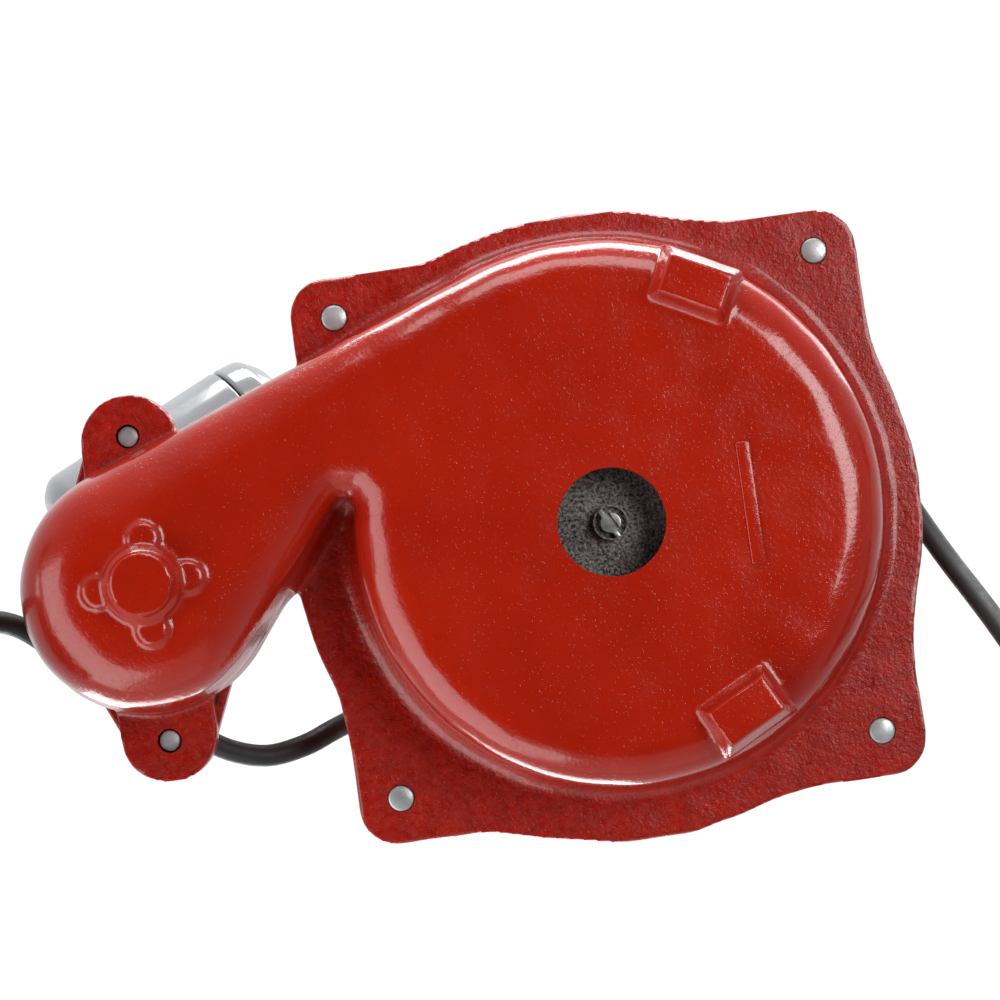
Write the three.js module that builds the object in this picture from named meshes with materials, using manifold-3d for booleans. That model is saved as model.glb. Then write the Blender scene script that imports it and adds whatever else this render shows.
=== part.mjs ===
// Submersible sewage pump with a tethered float switch, standing on its feet.
// Millimetres, +Z up, floor at z = 0. +X points from the shaft towards the discharge.
import * as THREE from 'three';
import { mergeVertices } from 'three/addons/utils/BufferGeometryUtils.js';
import Module from 'manifold-3d';

const wasm = await Module();
wasm.setup();

// Clearance left between pieces that touch.
const GAP = 0.3;

// Heights.
const FLOOR_FACE = 9;
const FLANGE_LOW = 56;
const MATING_FACE = 66;
const PLATE_TOP = 84;
const HOUSING_TOP = 290;
const CAP_TOP = 326;
const HANDLE_TOP = 374;

// Volute plan.
const VOLUTE_START = 95;
const VOLUTE_GROWTH = 11;
const VOLUTE_FROM = 20;
const VOLUTE_TO = 290.2;
const NOTCH_ANGLE = 16;
const WALL = 6.5;
const EDGE_ROUND = 18;
const WALL_DRAFT = 2.5;
const DISCHARGE_X = 172;
const DISCHARGE_R = 46.5;
const PORT_R = 25.5;
const EYE_R = 19.5;
const LUG_Y = 57;
const LUG_R = 18;
const LUG_MIDDLE = 54.5;
const BOSS = [168.9, 1.2];
const LUG_HOLE_R = 4.2;

// Motor flange plan.
const FLANGE_R = 117;
const FLANGE_Y = -1;
const FLANGE_HALF = 106;
const FLANGE_CORNER = 14;
const BOLT_XY = 90;
const BOLT_R = 4.75;

// Motor.
const HOUSING_R = 86;
const HOUSING_IN = 81;
const TOP_FLANGE_R = 98;
const TOP_SCREW_R = 92.5;
const SHAFT_R = 8.5;
const ROTOR_R = 42;
const STATOR_IN = 43;
const STATOR_R = 80;

// The middle of the footprint, left of the discharge and right of the shaft.
const SHAFT_X = -(DISCHARGE_X + DISCHARGE_R - FLANGE_R) / 2;

// Cords.
const CORD_R = 4.2;
const COIL_MEAN = 50;

// Float switch: its cord leaves the clamp here and the float hangs along this direction.
const PIVOT = new THREE.Vector3(67.5, 83.9, 154.3);
const FLOAT_DIR = new THREE.Vector3(0.8746, -0.432, -0.2213).normalize();
const TETHER = 55;
const FLOAT_R = 32;
const FLOAT_LENGTH = 100;

const PAINT = { color: 0xa51c0e, roughness: 0.3, metalness: 0.1 };
const STEEL = { color: 0xb9bcbf, roughness: 0.35, metalness: 1 };
const IRON = { color: 0x3a3836, roughness: 0.75, metalness: 0.6 };
const COPPER = { color: 0xb06a3c, roughness: 0.5, metalness: 0.9 };
const BLACK = { color: 0x232427, roughness: 0.6, metalness: 0 };
const GREY = { color: 0xb9c3cc, roughness: 0.25, metalness: 0 };

const deg = (angle) => (angle * Math.PI) / 180;
const polar = (radius, angle) => [radius * Math.cos(deg(angle)), radius * Math.sin(deg(angle))];

// ---- closed solids -------------------------------------------------------------------------

// Welds equal corners, drops slivers and turns the faces outwards.
function weld(geometry) {
  const bare = new THREE.BufferGeometry();
  bare.setAttribute('position', geometry.getAttribute('position').clone());
  if (geometry.index) bare.setIndex(geometry.index.clone());
  const merged = mergeVertices(bare, 1e-4);
  const at = merged.getAttribute('position').array;
  const corners = merged.index.array;
  const kept = [];
  let volume = 0;
  for (let i = 0; i < corners.length; i += 3) {
    const [a, b, c] = [corners[i], corners[i + 1], corners[i + 2]];
    if (a === b || b === c || c === a) continue;
    kept.push(a, b, c);
    const p = new THREE.Vector3().fromArray(at, 3 * a);
    const q = new THREE.Vector3().fromArray(at, 3 * b);
    volume += p.dot(q.cross(new THREE.Vector3().fromArray(at, 3 * c)));
  }
  if (volume < 0) kept.reverse();
  merged.setIndex(kept);
  return merged;
}

function toSolid(geometry) {
  const welded = weld(geometry);
  const vertProperties = new Float32Array(welded.getAttribute('position').array);
  const triVerts = new Uint32Array(welded.index.array);
  return new wasm.Manifold(new wasm.Mesh({ numProp: 3, vertProperties, triVerts }));
}

function fromSolid(solid) {
  const mesh = solid.getMesh();
  const geometry = new THREE.BufferGeometry();
  geometry.setAttribute('position', new THREE.BufferAttribute(mesh.vertProperties, 3));
  geometry.setIndex(new THREE.BufferAttribute(mesh.triVerts, 1));
  return geometry;
}

const join = (...pieces) => fromSolid(pieces.map(toSolid).reduce((whole, piece) => whole.add(piece)));
const cut = (body, ...tools) => {
  const left = tools.map(toSolid).reduce((rest, tool) => rest.subtract(tool), toSolid(body));
  return fromSolid(left);
};

function cylinder(radius, low, high, x = 0, y = 0, sides = 24) {
  const geometry = new THREE.CylinderGeometry(radius, radius, high - low, sides);
  return geometry.rotateX(Math.PI / 2).translate(x, y, (low + high) / 2);
}

function block(width, depth, height, x, y, z) {
  return new THREE.BoxGeometry(width, depth, height).translate(x, y, z);
}

// Turns a profile of [radius, height] corners about the Z axis.
function turned(profile, sides = 24) {
  const points = profile.map(([radius, height]) => new THREE.Vector2(radius, height));
  return weld(new THREE.LatheGeometry(points, sides).rotateX(Math.PI / 2));
}

// A ring whose section is the closed loop of the given corners.
const ring = (profile, sides = 24) => turned([...profile, profile[0]], sides);

function plate(outline, low, high) {
  const shape = new THREE.Shape(outline.map(([x, y]) => new THREE.Vector2(x, y)));
  const geometry = new THREE.ExtrudeGeometry(shape, { depth: high - low, bevelEnabled: false, steps: 1 });
  return geometry.translate(0, 0, low);
}

// A closed skin over rings of equal count, one above the other, with flat ends.
function loft(rings) {
  const count = rings[0].length;
  const positions = rings.flat(2);
  const faces = [];
  for (let level = 0; level + 1 < rings.length; level += 1) {
    for (let i = 0; i < count; i += 1) {
      const a = level * count + i;
      const b = level * count + ((i + 1) % count);
      faces.push(a, b, b + count, a, b + count, a + count);
    }
  }
  const cap = (points, offset, up) => {
    const flat = points.map(([x, y]) => new THREE.Vector2(x, y));
    for (const [a, b, c] of THREE.ShapeUtils.triangulateShape(flat, [])) {
      faces.push(offset + a, offset + (up ? b : c), offset + (up ? c : b));
    }
  };
  cap(rings[0], 0, false);
  cap(rings[rings.length - 1], (rings.length - 1) * count, true);
  const geometry = new THREE.BufferGeometry();
  geometry.setAttribute('position', new THREE.Float32BufferAttribute(positions, 3));
  geometry.setIndex(faces);
  return geometry;
}

// An outline moved inwards by a distance and lifted to a height.
function inset(outline, distance, height) {
  const count = outline.length;
  return outline.map((point, i) => {
    const before = outline[(i + count - 1) % count];
    const after = outline[(i + 1) % count];
    const run = Math.hypot(after[0] - before[0], after[1] - before[1]);
    const inX = -(after[1] - before[1]) / run;
    const inY = (after[0] - before[0]) / run;
    return [point[0] + inX * distance, point[1] + inY * distance, height];
  });
}

// A round bar along a smooth route.
function bar(points, radius, steps, sides = 8) {
  const route = new THREE.CatmullRomCurve3(points.map((p) => new THREE.Vector3(...p)), false, 'centripetal');
  const section = new THREE.Shape();
  for (let i = 0; i < sides; i += 1) {
    const [x, y] = polar(radius, (360 * i) / sides);
    if (i === 0) section.moveTo(x, y);
    else section.lineTo(x, y);
  }
  return new THREE.ExtrudeGeometry(section, { steps, extrudePath: route, bevelEnabled: false });
}

// ---- the assembly --------------------------------------------------------------------------

const pump = new THREE.Group();
pump.position.x = SHAFT_X;

function add(name, geometry, finish, parent = pump) {
  const mesh = new THREE.Mesh(weld(geometry), new THREE.MeshStandardMaterial(finish));
  mesh.name = name;
  parent.add(mesh);
  return mesh;
}

// ---- outlines ------------------------------------------------------------------------------

// The volute and its neck seen from above, anticlockwise, without the draft.
function voluteOutline() {
  const outline = [];
  // Round end under the discharge, from the inner neck line to the outer one.
  const notch = polar(VOLUTE_START, NOTCH_ANGLE);
  const reach = Math.hypot(DISCHARGE_X - notch[0], notch[1]);
  const aim = Math.atan2(-notch[1], DISCHARGE_X - notch[0]) - Math.asin(DISCHARGE_R / reach);
  const endFrom = (aim * 180) / Math.PI - 90;
  const largest = VOLUTE_START + VOLUTE_GROWTH;
  const endTo = 90 - (Math.asin((largest - DISCHARGE_R) / DISCHARGE_X) * 180) / Math.PI;
  const endSteps = 12;
  for (let i = 0; i <= endSteps; i += 1) {
    const [x, y] = polar(DISCHARGE_R, endFrom + ((endTo - endFrom) * i) / endSteps);
    outline.push([DISCHARGE_X + x, y]);
  }
  // The outer neck line, then the spiral shrinking round to the notch.
  const spiralSteps = 30;
  for (let i = 0; i <= spiralSteps; i += 1) {
    const turn = VOLUTE_TO - ((VOLUTE_TO - VOLUTE_FROM) * i) / spiralSteps;
    const radius = VOLUTE_START + (VOLUTE_GROWTH * (turn - VOLUTE_FROM)) / (VOLUTE_TO - VOLUTE_FROM);
    outline.push(polar(radius, -turn));
  }
  for (const angle of [-11, -2]) outline.push(polar(VOLUTE_START, angle));
  // A small fillet in the notch between the neck and the spiral.
  const start = polar(VOLUTE_START, 8.5);
  const end = [notch[0] + 12 * Math.cos(aim), notch[1] + 12 * Math.sin(aim)];
  for (const t of [0, 0.35, 0.65, 1]) {
    const bend = (k) => (1 - t) ** 2 * start[k] + 2 * t * (1 - t) * notch[k] + t * t * end[k];
    outline.push([bend(0), bend(1)]);
  }
  return outline;
}

// A circle and a rounded square about the same centre, blended where they cross.
function flangeOutline(shrink = 0, steps = 56) {
  const outline = [];
  const sharpness = 40;
  for (let i = 0; i < steps; i += 1) {
    const angle = (360 * i) / steps;
    const folded = deg(45 - Math.abs(45 - (angle % 90)));
    const centre = FLANGE_HALF - FLANGE_CORNER;
    const along = centre * (Math.cos(folded) + Math.sin(folded));
    const inside = along ** 2 - 2 * centre ** 2 + FLANGE_CORNER ** 2;
    const side = FLANGE_HALF / Math.cos(folded);
    const corner = inside > 0 ? along + Math.sqrt(inside) : side;
    const square = side * Math.sin(folded) > centre ? corner : side;
    const radius = (FLANGE_R ** sharpness + square ** sharpness) ** (1 / sharpness);
    const [x, y] = polar(radius - shrink, angle);
    outline.push([x, y + FLANGE_Y]);
  }
  return outline;
}

// The oval of the two-bolt discharge flange.
function dischargeOutline(half, end) {
  const outline = [];
  for (const side of [1, -1]) {
    const spread = (Math.acos((half - end) / LUG_Y) * 180) / Math.PI;
    for (const [centre, radius, from, to, steps] of [
      [0, half, -90 + spread, 90 - spread, 8],
      [LUG_Y * side, end, 90 - spread, 90 + spread, 8],
    ]) {
      for (let i = 0; i < steps; i += 1) {
        const angle = from + ((to - from) * i) / steps;
        const [x, y] = polar(radius, side > 0 ? angle : angle + 180);
        outline.push([DISCHARGE_X + x, centre + y]);
      }
    }
  }
  return outline;
}

const boltPlaces = [[1, 1], [-1, 1], [-1, -1], [1, -1]].map(([x, y]) => [x * BOLT_XY, y * BOLT_XY]);

// ---- pump end ------------------------------------------------------------------------------

// A tapered pad foot, turned to face away from the shaft.
function padFoot(angle, radius) {
  const rings = [[23, 13.4, 0], [29, 21, 9.5], [29, 21, 26]].map(([length, depth, z]) => {
    const corners = [[-1, -1], [-1, 1], [1, 1], [1, -1]];
    return corners.map(([u, v]) => {
      const point = new THREE.Vector2((v * depth) / 2 + radius, (u * length) / 2);
      point.rotateAround(new THREE.Vector2(0, 0), deg(angle));
      return [point.x, point.y, z];
    });
  });
  return loft(rings);
}

function voluteCasing() {
  const outline = voluteOutline();
  const skin = [];
  for (const angle of [0, 30, 60, 90]) {
    const inwards = WALL_DRAFT + EDGE_ROUND * (1 - Math.sin(deg(angle)));
    skin.push(inset(outline, inwards, FLOOR_FACE + EDGE_ROUND * (1 - Math.cos(deg(angle)))));
  }
  skin.push(inset(outline, 0, FLANGE_LOW));
  skin.push(inset(outline, 0, MATING_FACE));
  const parts = [loft(skin), plate(flangeOutline(), FLANGE_LOW, MATING_FACE)];
  for (const side of [1, -1]) {
    parts.push(cylinder(LUG_R, FLANGE_LOW, MATING_FACE, DISCHARGE_X, side * LUG_MIDDLE, 28));
    parts.push(block(2 * LUG_R, LUG_MIDDLE - 30, 10, DISCHARGE_X, side * (LUG_MIDDLE + 30) / 2, 61));
  }
  parts.push(padFoot(117.3, 89.9), padFoot(242.7, 82.3));
  parts.push(cylinder(11.3, 0, 30, ...BOSS, 24), cylinder(14.5, 5, 30, ...BOSS, 24));
  for (const angle of [98, 179, 266, 358]) {
    const [x, y] = polar(16.3, angle);
    parts.push(cylinder(6.2, 6.5, 30, BOSS[0] + x, BOSS[1] + y, 12));
  }
  parts.push(block(5, 44, 4, -50, 0, FLOOR_FACE + 1.2));
  const hollow = [
    inset(outline, EDGE_ROUND + WALL, FLOOR_FACE + 6),
    inset(outline, 9 + WALL, 19),
    inset(outline, 2.5 + WALL, 28),
    inset(outline, WALL, 40),
    inset(outline, WALL, 57),
  ];
  const tools = [loft(hollow), cylinder(88, 24, MATING_FACE + 1, 0, 0, 32)];
  tools.push(cylinder(PORT_R, 50, MATING_FACE + 1, DISCHARGE_X, 0, 24));
  tools.push(cylinder(EYE_R, -1, 20, 0, 0, 24));
  for (const [x, y] of boltPlaces) tools.push(cylinder(BOLT_R + GAP, 50, 70, x, y, 10));
  for (const side of [1, -1]) {
    tools.push(cylinder(LUG_HOLE_R + GAP, 50, 70, DISCHARGE_X, side * LUG_Y, 10));
  }
  return cut(join(...parts), ...tools);
}

add('volute_casing', voluteCasing(), PAINT);

add('volute_gasket', ring([[89, 66 + GAP], [94, 66 + GAP], [94, 67.6 - GAP], [89, 67.6 - GAP]], 24), BLACK);

// The plate between pump and motor: register, bearing pocket and seal pocket.
function sealPlate() {
  const body = plate(flangeOutline(1.5), 67.6, PLATE_TOP);
  const hub = turned([[0, 60], [87.5, 60], [87.5, 70], [34, 84], [30, 118], [0, 118]], 32);
  const tools = [
    cylinder(17.5, 55, 92, 0, 0, 24),
    cylinder(SHAFT_R + 2, 50, 130, 0, 0, 24),
    cylinder(20.3, 104, 130, 0, 0, 24),
  ];
  for (const [x, y] of boltPlaces) tools.push(cylinder(BOLT_R + GAP, 60, 90, x, y, 10));
  return cut(join(body, hub), ...tools);
}

add('seal_plate', sealPlate(), PAINT);

function impeller() {
  const parts = [
    turned([
      [0, 26.5], [8, 26.5], [23, 29.5], [27, 37], [36, 46], [75, 51.5], [75, 56], [14, 58.5], [0, 58.5],
    ], 24),
  ];
  for (const start of [0, 180]) {
    const outer = [];
    const inner = [];
    for (let i = 0; i <= 6; i += 1) {
      const radius = 26 + (47 * i) / 6;
      const angle = start - 130 * (i / 6) ** 0.8;
      const half = (180 * 3.2) / (Math.PI * radius);
      outer.push(polar(radius, angle + half));
      inner.unshift(polar(radius, angle - half));
    }
    parts.push(plate([...inner, ...outer], 20, 53));
  }
  return cut(join(...parts), cylinder(SHAFT_R + GAP, 31, 60, 0, 0, 24), cylinder(4.3, 20, 33, 0, 0, 16));
}

add('impeller', impeller(), IRON);

// A slotted head with a groove round its middle and a driving bar beside the slot.
function impellerScrew() {
  const head = turned([
    [0, 21.5], [3.7, 21.5], [3.7, 23.4], [5.8, 23.4], [5.8, 22.2], [6.4, 22.2],
    [6.4, 26.2], [4, 26.2], [4, 30.7], [0, 30.7],
  ], 24);
  const driver = block(11.9, 1.6, 2.3, 0, -0.7, 22.65).rotateZ(deg(61));
  const slot = block(7.6, 1.4, 1.8, 0, 0.9, 21.9).rotateZ(deg(61));
  return cut(join(head, driver), slot);
}

add('impeller_screw', impellerScrew(), STEEL);

add('seal_head', ring([[8.9, 70], [16, 70], [16, 77], [12, 77], [12, 79], [8.9, 79]], 20), BLACK);

function sealSpring() {
  const coils = 2.5;
  const points = [];
  for (let i = 0; i <= coils * 12; i += 1) {
    const [x, y] = polar(12.6, i * 30);
    points.push([x, y, 60.8 + (8 * i) / (coils * 12)]);
  }
  return bar(points, 0.8, coils * 12, 5);
}

add('seal_spring', sealSpring(), STEEL);
const sealSeat = ring([[10.9, 79.4], [17, 79.4], [17, 91.5], [10.9, 91.5]], 20);
add('seal_seat', sealSeat, { color: 0xe6e1d6, roughness: 0.3 });

// ---- motor ---------------------------------------------------------------------------------

add('shaft', turned([[0, 31.2], [SHAFT_R, 31.2], [SHAFT_R, 286], [0, 286]], 24), STEEL);
const rotorCore = ring([[SHAFT_R + GAP, 146], [ROTOR_R, 146], [ROTOR_R, 234], [SHAFT_R + GAP, 234]], 24);
add('rotor_core', rotorCore, STEEL);

function statorCore() {
  const outer = [];
  const inner = [];
  const slots = 12;
  for (let i = 0; i < 24; i += 1) outer.push(new THREE.Vector2(...polar(STATOR_R, i * 15)));
  for (let i = 0; i < slots; i += 1) {
    const middle = (360 * i) / slots;
    for (const [offset, radius] of [[-9, STATOR_IN], [9, STATOR_IN], [9, 62], [21, 62]]) {
      inner.push(new THREE.Vector2(...polar(radius, middle + offset)));
    }
  }
  const shape = new THREE.Shape(outer);
  shape.holes.push(new THREE.Path(inner));
  return new THREE.ExtrudeGeometry(shape, { depth: 80, bevelEnabled: false }).translate(0, 0, 150);
}

add('stator_core', statorCore(), { color: 0x6d6f72, roughness: 0.5, metalness: 0.9 });

for (const [name, low] of [['winding_lower', 126], ['winding_upper', 230.3]]) {
  const high = low + 23.7;
  const profile = [[48, low], [74, low], [77, low + 5], [77, high - 5], [74, high], [48, high]];
  add(name, ring(profile, 24), COPPER);
}

const bearing = (inner, outer, low, high) => ring([
  [inner, low], [inner + 3, low], [inner + 3.6, low + 1],
  [outer - 3.6, low + 1], [outer - 3, low], [outer, low],
  [outer, high], [inner, high],
], 20);
add('bearing_lower', bearing(SHAFT_R + GAP, 20, 104.3, 116), STEEL);
add('bearing_upper', bearing(SHAFT_R + GAP, 17.5, 266.3, 277), STEEL);

const bracketProfile = [
  [10.5, 262], [22, 262], [30, 263], [80.2, 263], [80.2, 270], [30, 270], [24, 279], [17.8, 279], [17.8, 266],
  [10.5, 266],
];
add('upper_bracket', ring(bracketProfile, 20), IRON);
add('overload_protector', cylinder(8, 254.3, 262.6, 58, 0, 20), BLACK);

function motorHousing() {
  const shell = turned([
    [0, PLATE_TOP + GAP], [HOUSING_R + 4, PLATE_TOP + GAP], [HOUSING_R + 4, 100], [HOUSING_R, 106],
    [HOUSING_R, 274], [TOP_FLANGE_R, 281], [TOP_FLANGE_R, HOUSING_TOP], [0, HOUSING_TOP],
  ], 32);
  const foot = plate(flangeOutline(1.5), PLATE_TOP + GAP, 98);
  const tools = [cylinder(HOUSING_IN, 80, 300, 0, 0, 32)];
  for (const [x, y] of boltPlaces) tools.push(cylinder(BOLT_R + GAP, 80, 100, x, y, 10));
  for (let i = 0; i < 4; i += 1) {
    const [x, y] = polar(TOP_SCREW_R, 14 + 90 * i);
    tools.push(cylinder(2.8, 270, 300, x, y, 12));
  }
  return cut(join(shell, foot), ...tools);
}

add('motor_housing', motorHousing(), PAINT);

const CAP_LOW = HOUSING_TOP + 1.8;
const CAP_SEAT = 299;
add('cap_gasket', ring([[82, 290.3], [89, 290.3], [89, 291.5], [82, 291.5]], 24), BLACK);

// The handle stands across the cord's side of the cap.
const CORD_SIDE = -31;
const GLAND_R = 45;
const HANDLE_HALF = 50;
const glandPlace = polar(GLAND_R, CORD_SIDE);
const handlePlaces = [1, -1].map((side) => polar(side * HANDLE_HALF, CORD_SIDE + 90));
const plugPlace = polar(55, 149);

function motorCap() {
  const dome = turned([
    [0, CAP_LOW], [TOP_FLANGE_R, CAP_LOW], [TOP_FLANGE_R, CAP_SEAT], [87, CAP_SEAT],
    [85, 313], [78, 322], [66, CAP_TOP], [0, CAP_TOP],
  ], 28);
  const hollow = turned([[0, 280], [80, 280], [80, 306], [72, 316], [62, 320], [0, 320]], 24);
  const glandHole = cylinder(10.3, 310, 340, ...glandPlace, 24);
  const plugHole = cylinder(6.3, 310, 340, ...plugPlace, 20);
  const tools = [hollow, glandHole, plugHole];
  for (const place of handlePlaces) tools.push(cylinder(3.3, 310, 340, ...place, 12));
  for (let i = 0; i < 4; i += 1) {
    tools.push(cylinder(3.3, 270, 310, ...polar(TOP_SCREW_R, 14 + 90 * i), 12));
  }
  return cut(dome, ...tools);
}

add('motor_cap', motorCap(), PAINT);
const capacitor = cylinder(12.5, -32, 32, 0, 0, 24).rotateX(Math.PI / 2).translate(-20, 0, 306);
add('run_capacitor', capacitor, { color: 0xd9dadb, roughness: 0.4 });
add('oil_plug', join(cylinder(6, 314, 328, ...plugPlace, 16), cylinder(9, 326.3, 333, ...plugPlace, 6)), STEEL);

// A hexagon screw standing head up.
function hexScrew(head, headHeight, shank, low, seat, x, y) {
  return join(cylinder(shank, low, seat + 1, x, y, 10), cylinder(head, seat, seat + headHeight, x, y, 6));
}

const BRACKET_SHEET = 3;
boltPlaces.forEach(([x, y], i) => {
  const seat = i === 0 ? 98 + BRACKET_SHEET + 2 * GAP : 98 + GAP;
  add(`flange_bolt_${i + 1}`, hexScrew(8, 6.4, BOLT_R, FLANGE_LOW - 0.8, seat, x, y), STEEL);
});
for (let i = 0; i < 4; i += 1) {
  const [x, y] = polar(TOP_SCREW_R, 14 + 90 * i);
  add(`cap_screw_${i + 1}`, hexScrew(5, 3.6, 2.5, 280, CAP_SEAT + GAP, x, y), STEEL);
}

// ---- lifting handle ------------------------------------------------------------------------

const HANDLE_WIDTH = 20;
const HANDLE_SHEET = 3;

function handleStrap() {
  const foot = 14;
  const half = HANDLE_HALF + 3;
  const low = CAP_TOP + GAP;
  const outline = new THREE.Shape();
  const bend = 14;
  outline.moveTo(-half + foot, low);
  outline.lineTo(-half, low);
  outline.lineTo(-half - 7, low);
  outline.lineTo(-half - 7, HANDLE_TOP - bend);
  outline.absarc(-half - 7 + bend, HANDLE_TOP - bend, bend, Math.PI, Math.PI / 2, true);
  outline.absarc(half + 7 - bend, HANDLE_TOP - bend, bend, Math.PI / 2, 0, true);
  outline.lineTo(half + 7, low);
  outline.lineTo(half - foot, low);
  outline.lineTo(half - foot, low + HANDLE_SHEET);
  outline.lineTo(half + 7 - HANDLE_SHEET, low + HANDLE_SHEET);
  outline.lineTo(half + 7 - HANDLE_SHEET, HANDLE_TOP - bend);
  outline.absarc(half + 7 - bend, HANDLE_TOP - bend, bend - HANDLE_SHEET, 0, Math.PI / 2, false);
  outline.absarc(-half - 7 + bend, HANDLE_TOP - bend, bend - HANDLE_SHEET, Math.PI / 2, Math.PI, false);
  outline.lineTo(-half - 7 + HANDLE_SHEET, low + HANDLE_SHEET);
  outline.lineTo(-half + foot, low + HANDLE_SHEET);
  const sheet = { depth: HANDLE_WIDTH, bevelEnabled: false, curveSegments: 6 };
  const strap = new THREE.ExtrudeGeometry(outline, sheet);
  strap.translate(0, 0, -HANDLE_WIDTH / 2).rotateX(Math.PI / 2).rotateZ(deg(CORD_SIDE + 90));
  return cut(strap, ...handlePlaces.map((place) => cylinder(3.3, 310, 340, ...place, 12)));
}

add('lifting_handle', handleStrap(), STEEL);
handlePlaces.forEach(([x, y], i) => {
  const seat = CAP_TOP + HANDLE_SHEET + 2 * GAP;
  add(`handle_screw_${i + 1}`, hexScrew(6, 4.4, 3, 312, seat, x, y), STEEL);
});

// ---- discharge -----------------------------------------------------------------------------

const HUB_TOP = 84;
const dischargeHoles = (radius, low, high) => (
  [1, -1].map((side) => cylinder(radius, low, high, DISCHARGE_X, side * LUG_Y, 10))
);

function dischargePiece(half, end, low, high, ...more) {
  const body = plate(dischargeOutline(half, end), low, high);
  const port = cylinder(PORT_R + 1, 50, 110, DISCHARGE_X, 0, 24);
  return cut(more.length ? join(body, ...more) : body, port, ...dischargeHoles(LUG_HOLE_R + GAP, 50, 110));
}

add('discharge_gasket', dischargePiece(34, 13, MATING_FACE + GAP, 67.3), BLACK);
const hub = cylinder(36, 70, HUB_TOP, DISCHARGE_X, 0, 28);
add('discharge_flange', dischargePiece(38, 15.5, 67.6, 78, hub), PAINT);
[1, -1].forEach((side, i) => {
  const bolt = hexScrew(7, 5.2, LUG_HOLE_R - 0.2, 58, 78 + GAP, DISCHARGE_X, side * LUG_Y);
  add(`discharge_bolt_${i + 1}`, bolt, STEEL);
});

// ---- power cord ----------------------------------------------------------------------------

const FINISH_CORD = BLACK;
const glandParts = [cylinder(10, 314, 330, 0, 0, 20), cylinder(14, CAP_TOP + GAP, 335, 0, 0, 6)];
const glandBody = cut(join(...glandParts), cylinder(CORD_R + GAP, 300, 340, 0, 0, 12));
add('cord_gland', glandBody.translate(...glandPlace, 0), STEEL);

const RELIEF_TOP = 372;
const reliefProfile = [
  [CORD_R + GAP, 335.3], [9, 335.3], [8.4, 345], [6, RELIEF_TOP], [CORD_R + GAP, RELIEF_TOP],
];
add('strain_relief', ring(reliefProfile, 16).translate(...glandPlace, 0), BLACK);

// Up out of the gland, over, down beside the motor, across the discharge and down to the floor.
const outwards = (radius, z) => [...polar(radius, CORD_SIDE), z];
const powerRoute = [
  outwards(45, 318), outwards(45, 345), outwards(45, 374), outwards(48, 390), outwards(57, 403),
  outwards(71, 410), outwards(87, 409), outwards(102, 400), outwards(112, 384), outwards(116, 362),
  outwards(116.5, 325), outwards(117, 280), outwards(117.5, 230), outwards(118, 185), [102.5, -60.5, 155],
  [106.5, -61, 131], [114.5, -63.5, 112], [126, -67.5, 99.5], [140, -69, 93.5], [154, -64.5, 90.5],
  [166, -56, 88.9], [178, -45.5, 88.4], [190, -36.8, 87.5], [202.5, -27.8, 86], [214, -16.5, 82.5],
  [225, -7, 75.5], [236, -3, 65], [247, -1, 52.5], [258, 0.6, 41], [267, 1.8, 34], [275, 2.6, 30],
];
const powerCoil = { x: 298, y: -54, entry: 90, exit: 150 };

// A storage coil: two full layers three turns wide, and one turn on top at the outer side.
function coilRing(base, { x, y }) {
  const outer = COIL_MEAN + 3 * CORD_R;
  const inner = COIL_MEAN - 3 * CORD_R;
  const wide = outer + 2 * CORD_R * base;
  const step = base ? 2 * CORD_R : 4 * CORD_R;
  return ring([
    [inner, 0.1], [wide, 0.1], [wide, step], [outer, step + 0.1],
    [outer, 6 * CORD_R], [COIL_MEAN + CORD_R, 6 * CORD_R], [COIL_MEAN + CORD_R, 4 * CORD_R + 0.2],
    [inner, 4 * CORD_R + 0.2],
  ], 24).translate(x, y, 0);
}

// The free end from a coil's outer bottom turn to its plug.
function coilEnd(coil, radius, length) {
  const [x, y] = polar(radius, coil.exit);
  const heading = [Math.sin(deg(coil.exit)), -Math.cos(deg(coil.exit))];
  const point = (s, z) => [coil.x + x + heading[0] * s, coil.y + y + heading[1] * s, z];
  return [point(35, CORD_R + 0.1), point(48, CORD_R + 0.6), point(length * 0.8, 7), point(length, 10.5)];
}

// A moulded mains plug lying on its side, pointing along +X from its cord entry.
function plugBody(length, width, height, bladeLength) {
  const outline = [
    [0, 4.6], [16, 5.6], [20, width / 2 - 2], [26, width / 2], [length, width / 2],
    [length, -width / 2], [26, -width / 2], [20, 2 - width / 2], [16, -5.6], [0, -4.6],
  ];
  const parts = [plate(outline, -height / 2, height / 2)];
  for (const side of [1, -1]) {
    parts.push(block(bladeLength + 4, 1.6, 6.4, length + bladeLength / 2 - 2, side * 6.35, 1));
  }
  parts.push(cylinder(2.4, -4, bladeLength + 3, 0, 0, 12).rotateY(Math.PI / 2).translate(length, 0, -7.5));
  return join(...parts);
}

function addCord(name, route, steps, coil, radius, endLength, base, plugGeometry, plugHeight) {
  add(name, bar(route, CORD_R, steps), FINISH_CORD);
  add(`${name}_coil`, coilRing(base, coil), FINISH_CORD);
  const end = coilEnd(coil, radius, endLength);
  add(`${name}_end`, bar(end, CORD_R, 8), FINISH_CORD);
  const tip = end[end.length - 1];
  const heading = coil.exit - 90;
  const plug = plugGeometry.rotateZ(deg(heading)).translate(tip[0], tip[1], plugHeight / 2 + 0.1);
  plug.translate(Math.cos(deg(heading)) * 1.5, Math.sin(deg(heading)) * 1.5, 0);
  add(name.replace('cord', 'plug'), plug, FINISH_CORD);
}

addCord('power_cord', powerRoute, 50, powerCoil, COIL_MEAN + 2 * CORD_R, 80, 0, plugBody(44, 26, 24, 18), 24);

// ---- float switch --------------------------------------------------------------------------

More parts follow.
